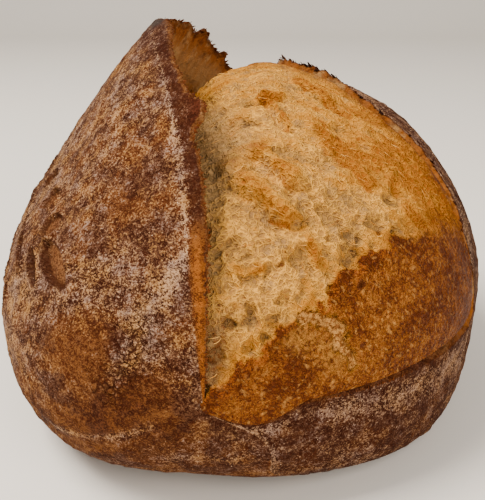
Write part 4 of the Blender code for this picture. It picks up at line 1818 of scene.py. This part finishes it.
@dataclass
class BurstCrumb:
    """The crumb that burst out between the ear and the lip."""

    rows: int = 410
    across: int = 230
    skin_rise: float = 0.0012
    relief_height: float = 0.0034
    relief_size: float = 0.016
    hollow_size: float = 0.0115
    pore_size: float = 0.0052
    fine_pore_size: float = 0.0027
    strand_size: float = 0.0020
    ragged_size: float = 0.0075
    ragged_reach: float = 0.016
    pocket_size: float = 0.0022
    pocket_depth: float = 0.0012
    bead_size: float = 0.0026
    bead_height: float = 0.0009
    finish: CrumbFinish = CrumbFinish()

    def patch(self) -> Patch:
        """The grid of the crumb, from the lip's foot to the groove.

        Returns:
            The grid.
        """
        station = rows(self.rows)
        share = np.linspace(0, 1, self.across)[None] + 0 * station
        flat = DOUGH.bloom(station, share)
        angle = np.arctan2(flat[..., 1], flat[..., 0])
        stations = station + 0 * angle
        skin = DOUGH.brown_skin(stations, angle)
        even = DOUGH.place(stations, flat)
        rough = self.relief_height * (0.35 - np.abs(rolling(even, self.relief_size, 7.3)))
        inside = smooth_step(share, 0, 0.08) * smooth_fall(share, 0.85, 1)
        height = inside * (self.skin_rise * skin + rough * (1 - skin))
        points = DOUGH.place(stations, flat, height)
        core, ends = core_and_ends(station)
        patch = Patch("burst_crumb", station, angle, points, core, ends)
        self.add_values(patch, even, rough, share)
        return patch

    def add_values(self, patch: Patch, even: Array, rough: Array, share: Array) -> None:
        """Adds the torn ridges and holes, and the values that the relief and the finish read.

        Args:
            patch: the grid.
            even: the grid's places without relief.
            rough: the broad relief's height.
            share: how far from lip to groove.
        """
        degrees, around = patch.turns()
        size = DOUGH.fullness(patch.station)
        gap = (DOUGH.skin_edge(patch.station) - around) * math.radians(1) * DOUGH.reach_up * size
        gap += 0.0040 * smooth_fall(degrees, 13, 21)
        lifted, toasted, holed, crease, spot, pocket = (np.zeros_like(gap) for _ in range(6))
        for ridge in RIDGES:
            height, warm, crevice_shadow = ridge.relief(even)
            lifted += height
            crease = np.maximum(crease, crevice_shadow)
            toasted = np.maximum(toasted, warm)
        for hole in HOLES:
            height, deep = hole.relief(even)
            lifted += height
            holed = np.maximum(holed, deep * min(hole.depth / 0.0035, 1))
        for station, angle, radius in SPOTS:
            spot = np.maximum(spot, nearness(even, on_right(dot(station, angle)), radius))
        for track, width in POCKETS:
            pocket = np.maximum(pocket, nearness(even, on_right(track), width))
        golden = 0.18 + 0.74 * smooth_step(degrees, 42, 64) * (1 - 0.65 * smooth_step(around, 56, 82))
        low = smooth_step(degrees, 44, 54) * smooth_fall(around, 50, 58)
        golden += 0.60 * low * smooth_fall(degrees, 66, 76)
        golden += 0.25 * smooth_step(degrees, 78, 100) + 0.98 * toasted
        golden += 0.45 * np.exp(-((gap / 0.005) ** 2)) * smooth_fall(degrees, 50, 70)
        golden += 60 * rough
        front = smooth_fall(degrees, 14, 24)
        # Painted shade: the groove value darkens the crumb beside the ear, where the ear shades it, reaching
        # further out at the middle stations.
        shaded = share + 0.13 * np.exp(-(((degrees - 66) / 20) ** 2))
        across = np.gradient(patch.points, axis=1)
        across /= np.maximum(np.linalg.norm(across, axis=-1, keepdims=True), 1e-9)
        patch.values = {
            "skin_gap": gap,
            "skin_soft": 0.0007 + 0.0075 * smooth_step(degrees, 36, 56),
            "pocket": pocket,
            "lifted": lifted,
            "holed": holed,
            "golden": golden,
            "bake": smooth_step(degrees, 20, 56) * smooth_fall(degrees, 75, 90) + 0.4 * front,
            "groove": smooth_step(shaded, 0.80, 0.95) * (1 - front),
            # Painted shade in the hollow at the crumb's front end, by the ear.
            "dark_end": front * smooth_step(share, 0.62, 0.80),
            "spot": smooth_step(spot + 0.35 * rolling(even, 0.0012, 4.4), 0.45, 0.75),
            # The crease value is painted as a shadow line in front of the torn ridges.
            "crease": smooth_step(crease + 0.5 * rolling(even, 0.0035, 6.1), 0.25, 0.85),
            "glow": nearness(even, on_right(GLOW[0]), GLOW[1]),
            "calm": patch.calm(5, 5),
            "across": across,
        }

    def relief(self, material: Material) -> ShapeGraph:
        """Pores with thin torn walls, larger hollows, and fine strands across the score.

        Args:
            material: what the piece wears.

        Returns:
            The tree.
        """
        inputs = {"Hollow": 0.0017, "Pore": 0.0014, "Fine_pore": 0.0006, "Strand": 0.0004, "Skin": 0.0007}
        shape = ShapeGraph("crumb_relief", inputs)
        place = shape.position()
        flow = shape.stretched(place, 0.72, 1.15, 0.72)
        warped = shape.wander(flow, 0.0060, 0.0052)
        frayed = shape.wander(flow, 0.0022, 0.0018)
        hollow, hollow_chance = shape.cells(warped, self.hollow_size)
        sunk = (0.55 - hollow).rise(0.0, 0.30) * hollow_chance.rise(0.50, 0.75)
        chance = shape.cells(warped, self.pore_size)[1]
        pore = shape.walls(warped, self.pore_size).rise(0.03, 0.26) * chance.rise(0.20, 0.80)
        fine_chance = shape.cells(frayed, self.fine_pore_size)[1]
        fine = shape.walls(frayed, self.fine_pore_size).rise(0.05, 0.34) * fine_chance.rise(0.25, 0.85)
        strand = shape.ridged(shape.stretched(frayed, 0.35, 1.0, 0.35), self.strand_size)
        ragged = (shape.noise(place, self.ragged_size, 4.0, 0.6) - 0.5) * self.ragged_reach
        gap, soft = shape.stored("skin_gap") + ragged, shape.stored("skin_soft")
        frayed_pocket = (shape.noise(place, self.pocket_size, 4.0, 0.75) - 0.5) * 1.9
        torn = (shape.stored("pocket") + frayed_pocket).rise(0.48, 0.70)
        skin = gap.rise(soft * -1.0, soft) * (1 - torn)
        open_crumb = shape.given("Hollow") * sunk + shape.given("Pore") * pore
        open_crumb = open_crumb + shape.given("Fine_pore") * fine
        height = (shape.given("Strand") * strand - open_crumb) * (1 - skin)
        near = gap.rise(-0.0002, 0.0012) - gap.rise(0.0012, 0.0060)
        height = height + skin * (shape.given("Skin") * (0.4 + near.clamped()))
        beads = skin * (shape.noise(place, self.bead_size, 3.0, 0.65) - 0.5) * self.bead_height
        height = height + beads - torn * self.pocket_depth + shape.stored("lifted")
        # The pores, hollows, holes and pocket as one share, which the finish paints as shade and where
        # strands gather.
        pit = (sunk * 0.55 + pore * 0.60 + fine * 0.35 + shape.stored("holed") + torn * 0.3).clamped()
        edge = (gap.rise(0.0, 0.0012) - gap.rise(0.0014, 0.0042)).clamped()
        values = {
            "pit": pit * (1 - skin),
            "skin": skin,
            "rim": (skin * (1 - skin) * 4.0).clamped() * (1 - (soft * 200.0).clamped()),
            "torn": torn,
            "edge": edge * (1 - (soft * 160.0).clamped()) * (1 - torn),
        }
        kept = shape.keep(shape.surface(), values)
        shape.finish(shape.raised(kept, height * shape.stored("calm")), material)
        return shape

    def build(self, shift: Array) -> Object:
        """Makes the piece, moved onto the frame by shift."""
        return self.relief(self.finish.material()).apply(self.patch().moved(shift).mesh_object())


@dataclass
class FlouredSide:
    """The floured crust right of the burst, from its lip down to the loaf's foot."""

    rows: int = 336
    outer: int = 150
    lip: int = 8
    foot_depth: float = 0.0022
    tear: Stretch = (0.0022, 0.0036)
    fray: Stretch = (0.0005, 0.0018)
    torn_from: Stretch = (58, 85)

    def patch(self) -> Patch:
        """The grid of the side, from its lower edge up over the lip and down to the crumb.

        Returns:
            The grid.
        """
        station = rows(self.rows)
        places = np.zeros((*station.shape, 3))
        places[..., 0] = DOUGH.half_length * station
        depth = DOUGH.along(station, self.torn_from) * self.tear[0]
        torn = depth * np.abs(rolling(places, self.tear[1], 5.5))
        torn += self.fray[0] * rolling(places, self.fray[1], 2.2)
        lip = DOUGH.lip_angle(station)
        share = np.linspace(0, 1, self.outer)[None] ** 0.9
        start = lower_edge(station)
        angle = start + (lip - start) * share
        outer = DOUGH.under(station, angle, torn + 0 * angle)
        crest = outer[:, -1:]
        foot = DOUGH.bloom(station, np.zeros_like(station))
        foot = foot * (1 - self.foot_depth / np.linalg.norm(foot, axis=-1, keepdims=True))
        down = np.linspace(0, 1, self.lip + 1)[None, 1:, None]
        flat = np.concatenate([outer, crest + (foot - crest) * down], axis=1)
        angle = np.concatenate([angle, np.repeat(lip, self.lip, axis=1)], axis=1)
        points = DOUGH.place(station + 0 * angle, flat)
        core, ends = core_and_ends(station)
        patch = Patch("floured_side", station, angle, points, core, ends)
        self.add_values(patch)
        return patch

    def add_values(self, patch: Patch) -> None:
        """Adds the values that the relief and the finish read.

        Args:
            patch: the grid.
        """
        degrees, around = patch.turns()
        below = np.degrees(DOUGH.lip_angle(patch.station)) - around
        above = around - np.degrees(lower_edge(patch.station))
        outside = (patch.columns() < self.outer) * 1.0
        flour = 0.40 + 0.30 * smooth_step(below, 0, 4) * smooth_fall(below, 8, 16)
        flour += 0.36 * smooth_fall(above, 0.5, 6) * smooth_fall(degrees, 30, 50)
        flour += 0.2 * smooth_step(degrees, 60, 100)
        bare_names = ("bare", "ruddy", "heart", "cut", "shadow", "cracked", "ash", "carved")
        patch.values = dict.fromkeys(bare_names, np.zeros_like(degrees)) | {
            "flour": flour * outside,
            "dusk": 0.75 * outside,
            "inner": (1 - outside) * smooth_step(degrees, 36, 60),
            "scorch": 0.4 * smooth_fall(below, 0, 1.2) * smooth_step(degrees, 55, 80),
            "flake": (1 - outside) * 0.6 * smooth_fall(degrees, 36, 60),
            "calm": patch.calm(4, 4) * patch.off_floor(),
        }

    def build(self, shift: Array, like: CrustShell, material: Material) -> Object:
        """Makes the piece with the crust's relief and material, moved onto the frame by shift."""
        return like.relief(material).apply(self.patch().moved(shift).mesh_object())


@dataclass
class GlutenStrands:
    """Fine dried strands that bridge the crumb's pores."""

    density: float = 54000.0
    length: float = 0.0046
    thickness: float = 0.00008
    finish: StrandFinish = StrandFinish()

    def build(self, crumb: Object) -> Object:
        """Makes the strands on the crumb.

        Args:
            crumb: the crumb's piece.

        Returns:
            The piece.
        """
        inputs = {"Crumb": crumb, "Density": self.density, "Length": self.length, "Thickness": self.thickness}
        shape = ShapeGraph("strands", inputs)
        length = shape.given("Length")
        open_share = (1 - shape.stored("skin") * 1.4).clamped() * shape.stored("calm")
        density = shape.given("Density") * open_share * (0.25 + shape.stored("pit"))
        points = shape.scattered(shape.shape_of("Crumb"), density, 11)
        path = {
            "Resolution": 4,
            "Start": shape.xyz(length * -0.5),
            "Middle": shape.xyz(0.0, length * 0.14, length * 0.09),
            "End": shape.xyz(length * 0.5),
        }
        ring = {"Resolution": 3, "Radius": shape.given("Thickness")}
        tube = {
            "Curve": shape.add("GeometryNodeCurveQuadraticBezier", path),
            "Profile Curve": shape.add("GeometryNodeCurvePrimitiveCircle", ring, mode="RADIUS"),
            "Fill Caps": True,
        }
        turn = shape.random_vector((-0.25, -0.25, -0.9), (0.25, 0.25, 0.9), 5)
        rotation = shape.turned(shape.aimed(shape.direction("across"), shape.direction("outward")), turn)
        scale = shape.random_vector((0.35, 0.6, 0.6), (1.15, 1.5, 1.4), 8)
        strands = shape.copies(points, shape.add("GeometryNodeCurveToMesh", tube), rotation, scale)
        shape.finish(strands, self.finish.material())
        return shape.apply(new_piece("gluten_strands"))


@dataclass
class FlourDust:
    """Grains of flour that lie on the crust."""

    density: float = 120000.0
    radius: float = 0.00015
    finish: FlourFinish = FlourFinish()

    def build(self, left: Object, right: Object) -> Object:
        """Makes the grains on the crust's two parts.

        Args:
            left: the left crust's piece.
            right: the right crust's piece.

        Returns:
            The piece.
        """
        inputs = {"Left": left, "Right": right, "Density": self.density, "Radius": self.radius}
        shape = ShapeGraph("flour", inputs)
        ground = shape.joined((shape.shape_of("Left"), shape.shape_of("Right")))
        cover = (shape.stored("flour") - 0.30).rise(0.0, 0.7) * shape.stored("calm")
        points = shape.scattered(ground, shape.given("Density") * cover, 3)
        grain = shape.add("GeometryNodeMeshIcoSphere", {"Radius": shape.given("Radius"), "Subdivisions": 1})
        turn = shape.random_vector((0, 0, 0), (6.2, 6.2, 6.2), 4)
        rotation = shape.turned(shape.aimed(shape.direction("outward"), shape.direction("outward")), turn)
        scale = shape.random_vector((0.5, 0.5, 0.5), (1.5, 1.3, 1.1), 6)
        shape.finish(shape.copies(points, grain, rotation, scale), self.finish.material())
        return shape.apply(new_piece("flour_grains"))


@dataclass(frozen=True)
class ShardRow:
    """A row of torn flakes along an edge, from one station to another in degrees."""

    first: float
    last: float
    count: int
    smallest: float
    largest: float
    char: float


@dataclass
class TornShards:
    """Thin torn flakes that stand on the ear's edge and on the back of the lip."""

    ear_rows: tuple[ShardRow, ...] = (
        ShardRow(4, 46, 120, 0.0004, 0.0008, 0.05),
        ShardRow(44, 58, 70, 0.0005, 0.0012, 0.35),
        ShardRow(58, 96, 90, 0.0004, 0.0009, 0.45),
        ShardRow(96, 136, 120, 0.0005, 0.0018, 0.38),
        ShardRow(136, 172, 60, 0.0005, 0.0012, 0.30),
    )
    lip_rows: tuple[ShardRow, ...] = (
        ShardRow(12, 56, 60, 0.0004, 0.0008, 0.15),
        ShardRow(56, 100, 80, 0.0005, 0.0012, 0.55),
        ShardRow(100, 160, 80, 0.0005, 0.0012, 0.45),
    )
    burnt: Track = (
        (101.0, 0.0022), (93.4, 0.0028), (91.6, 0.0026), (88.8, 0.0022), (84.0, 0.0016), (80.5, 0.0020),
        (76.5, 0.0016), (72.0, 0.0014), (66.0, 0.0016),
    )
    ear_seed: int = 20
    lip_seed: int = 40
    burnt_seed: int = 60
    run_up: int = 6
    bend_size: float = 1 / 900
    bend: float = 0.0010
    finish: ShardFinish = ShardFinish()

    def edge(self, patch: Patch, column: int, row: ShardRow, seed: int) -> list[Array]:
        """Places, directions, sizes and char for a row of flakes along a column of a patch.

        Args:
            patch: the grid.
            column: the edge's column.
            row: the flakes' place, count and sizes.
            seed: the seed of the draws.

        Returns:
            The five arrays, in that order.
        """
        before = column - self.run_up
        random = np.random.default_rng(seed)
        turns = np.radians(random.uniform(row.first, row.last, row.count))
        index = np.interp(turns, patch.station[:, 0], np.arange(len(patch.station))).astype(int)
        place = patch.points[index, column]
        aim = place - patch.points[index, before]
        aim /= np.linalg.norm(aim, axis=1, keepdims=True)
        aim += random.uniform(-0.45, 0.45, aim.shape)
        size = row.smallest + (row.largest - row.smallest) * random.random(row.count) ** 2.5
        char = np.clip(row.char + random.uniform(-0.25, 0.25, row.count), 0, 1)
        return [place, aim, patch.normals()[index, before], size, char]

    def build(self, ear: Patch, ear_column: int, lip: Patch, lip_column: int) -> Object:
        """Makes the flakes on the two edges.

        Args:
            ear: the crust's grid.
            ear_column: the column at the ear's edge.
            lip: the floured side's grid.
            lip_column: the column at the lip's crest.

        Returns:
            The piece.
        """
        made = [self.edge(ear, ear_column, row, self.ear_seed + n) for n, row in enumerate(self.ear_rows)]
        made += [self.edge(lip, lip_column, row, self.lip_seed + n) for n, row in enumerate(self.lip_rows)]
        for number, (station, size) in enumerate(self.burnt):
            single = ShardRow(station - 0.1, station + 0.1, 3, 0.6 * size, size, 0.95)
            made.append(self.edge(lip, lip_column, single, self.burnt_seed + number))
        place, aim, normal, size, char = (np.concatenate(parts) for parts in zip(*made))
        piece = new_piece("torn_shards")
        piece.data.vertices.add(len(place))
        piece.data.vertices.foreach_set("co", place.astype(np.float32).ravel())
        for name, values in {"aim": aim, "across": normal, "size": size, "char": char}.items():
            write_attribute(piece.data, name, values)
        return self.flakes().apply(piece)

    def flakes(self) -> ShapeGraph:
        """A bent flake at each point.

        Returns:
            The tree.
        """
        shape = ShapeGraph("shards", {"Thickness": 0.35, "Width": 1.15})
        sizes = {"Vertices": 5, "Radius Top": 0.16, "Radius Bottom": 0.5, "Depth": 1.1}
        cone = shape.add("GeometryNodeMeshCone", sizes, "Mesh")
        flat = shape.xyz(shape.given("Thickness"), shape.given("Width"), 1.0)
        turn = shape.random_vector((-0.2, -0.35, -0.5), (0.2, 0.35, 0.5), 9)
        rotation = shape.turned(shape.aimed(shape.direction("across"), shape.direction("aim")), turn)
        flakes = shape.copies(shape.surface(), cone, rotation, shape.scaled(flat, shape.stored("size")))
        bent = shape.moved(flakes, shape.jitter(shape.position(), self.bend_size, self.bend))
        shape.finish(bent, self.finish.material())
        return shape


def new_piece(name: str) -> Object:
    """An empty mesh object in the scene.

    Args:
        name: the piece's name.

    Returns:
        The object.
    """
    thing = bpy.data.objects.new(name, bpy.data.meshes.new(name))
    bpy.context.scene.collection.objects.link(thing)
    return thing


@dataclass(frozen=True)
class Lamp:
    """A soft square lamp: its name, where it hangs, its side in metres, its power in watts and its colour."""

    name: str
    spot: tuple[float, float, float]
    size: float
    power: float
    tone: Colour
    aim: tuple[float, float, float] = (0, 0, 0.05)

    def build(self) -> None:
        """Makes the lamp."""
        data = bpy.data.lights.new(self.name, "AREA")
        data.shape = "SQUARE"
        data.size = self.size
        data.energy = self.power
        data.color = self.tone
        lamp = bpy.data.objects.new(self.name, data)
        lamp.location = self.spot
        lamp.rotation_euler = (Vector(self.aim) - Vector(self.spot)).to_track_quat("-Z", "Y").to_euler()
        bpy.context.scene.collection.objects.link(lamp)


@dataclass
class Studio:
    """A pale floor that curves up behind, a window-like key from the left, a weak fill and the camera."""

    focal_pixels: float = 700.0
    frame_height: int = 500
    pitch: float = math.radians(22.9)
    distance: float = 0.2606
    height: float = 0.154
    sensor: float = 36.0
    floor_reach: float = 1.2
    floor_front: float = -2.5
    floor_half_width: float = 2.5
    bend_radius: float = 0.5
    bend_steps: int = 24
    wall_height: float = 1.6
    window: Lamp = Lamp("window", (-0.60, -0.16, 1.18), 0.55, 33.0, (1.0, 0.97, 0.93))
    room: Lamp = Lamp("room", (0.5, -1.0, 0.85), 1.1, 19.0, (1.0, 0.96, 0.92))
    sky_colour: Colour = (0.93, 0.96, 1.0, 1.0)
    sky_strength: float = 0.55
    finish: FloorFinish = FloorFinish()

    def floor(self) -> Object:
        """The floor and the wall behind it, one swept sheet.

        Returns:
            The floor.
        """
        start, radius, half = self.floor_reach, self.bend_radius, self.floor_half_width
        turn = np.linspace(0, math.pi / 2, self.bend_steps)
        profile = [(self.floor_front, 0.0)]
        profile += [(start + radius * math.sin(a), radius * (1 - math.cos(a))) for a in turn]
        profile.append((start + radius, self.wall_height))
        places = [(side, y, z) for side in (-half, half) for y, z in profile]
        count = len(profile)
        faces = [(i, i + count, i + count + 1, i + 1) for i in range(count - 1)]
        mesh = bpy.data.meshes.new("pale_floor")
        mesh.from_pydata(places, [], faces)
        mesh.materials.append(self.finish.material())
        mesh.shade_smooth()
        floor = bpy.data.objects.new("pale_floor", mesh)
        bpy.context.scene.collection.objects.link(floor)
        return floor

    def lights(self) -> None:
        """The two lamps and an even sky."""
        self.window.build()
        self.room.build()
        world = bpy.data.worlds.new("soft_sky")
        world.use_nodes = True
        sky = world.node_tree.nodes["Background"]
        sky.inputs["Color"].default_value = self.sky_colour
        sky.inputs["Strength"].default_value = self.sky_strength
        bpy.context.scene.world = world

    def camera(self, shift: Array) -> None:
        """The camera, in front of the loaf and above it, looking slightly down.

        Args:
            shift: the move onto the frame.
        """
        data = bpy.data.cameras.new("front_view")
        data.sensor_width = self.sensor
        data.lens = self.sensor * self.focal_pixels / self.frame_height
        data.clip_start = 0.01
        camera = bpy.data.objects.new("front_view", data)
        camera.location = (float(shift[0]), float(shift[1]) - self.distance, self.height)
        camera.rotation_euler = Euler((math.pi / 2 - self.pitch, 0, 0))
        bpy.context.scene.collection.objects.link(camera)
        bpy.context.scene.camera = camera


def frame_shift() -> Array:
    """How far the loaf's own coordinates lie from the frame's, from the solid's box.

    Returns:
        The shift along X, Y and Z, in metres.
    """
    station = rows(90, 0.0)
    right = DOUGH.under(station, np.radians(np.linspace(-90, 0, 40))[None] + 0 * station, 0 * station)
    left = DOUGH.crust(station, np.radians(np.linspace(110, 270, 80))[None] + 0 * station)
    flat = np.concatenate([right, left], axis=1)
    points = DOUGH.place(station + 0 * flat[..., 0], flat).reshape(-1, 3)
    low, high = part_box(NODE)
    middle = (np.array(low) + np.array(high)) / 2
    shift = middle - (points.min(axis=0) + points.max(axis=0)) / 2
    shift[2] = 0
    return shift


def ride(piece: Object) -> None:
    """Puts a finished piece on the loaf's body and reports it.

    Args:
        piece: the piece.
    """
    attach(piece, BODY)
    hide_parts(NODE)
    faces = sum(len(face.vertices) - 2 for face in piece.data.polygons)
    log.info("%s: %d triangles", piece.name, faces)


def main() -> None:
    """Builds the loaf, the floor, the lights and the camera."""
    logging.basicConfig(level=logging.INFO, format="%(name)s %(message)s")
    shift = frame_shift()
    shell, side = CrustShell(), FlouredSide()
    crust = shell.build(shift)
    ride(crust)
    crumb = BurstCrumb().build(shift)
    ride(crumb)
    right = side.build(shift, shell, crust.data.materials[0])
    ride(right)
    ride(GlutenStrands().build(crumb))
    ride(FlourDust().build(crust, right))
    ear, lip = shell.patch().moved(shift), side.patch().moved(shift)
    ride(TornShards().build(ear, shell.outer + 2, lip, side.outer - 1))
    studio = Studio()
    studio.floor()
    studio.lights()
    studio.camera(shift)


if __name__ == "__main__":
    main()
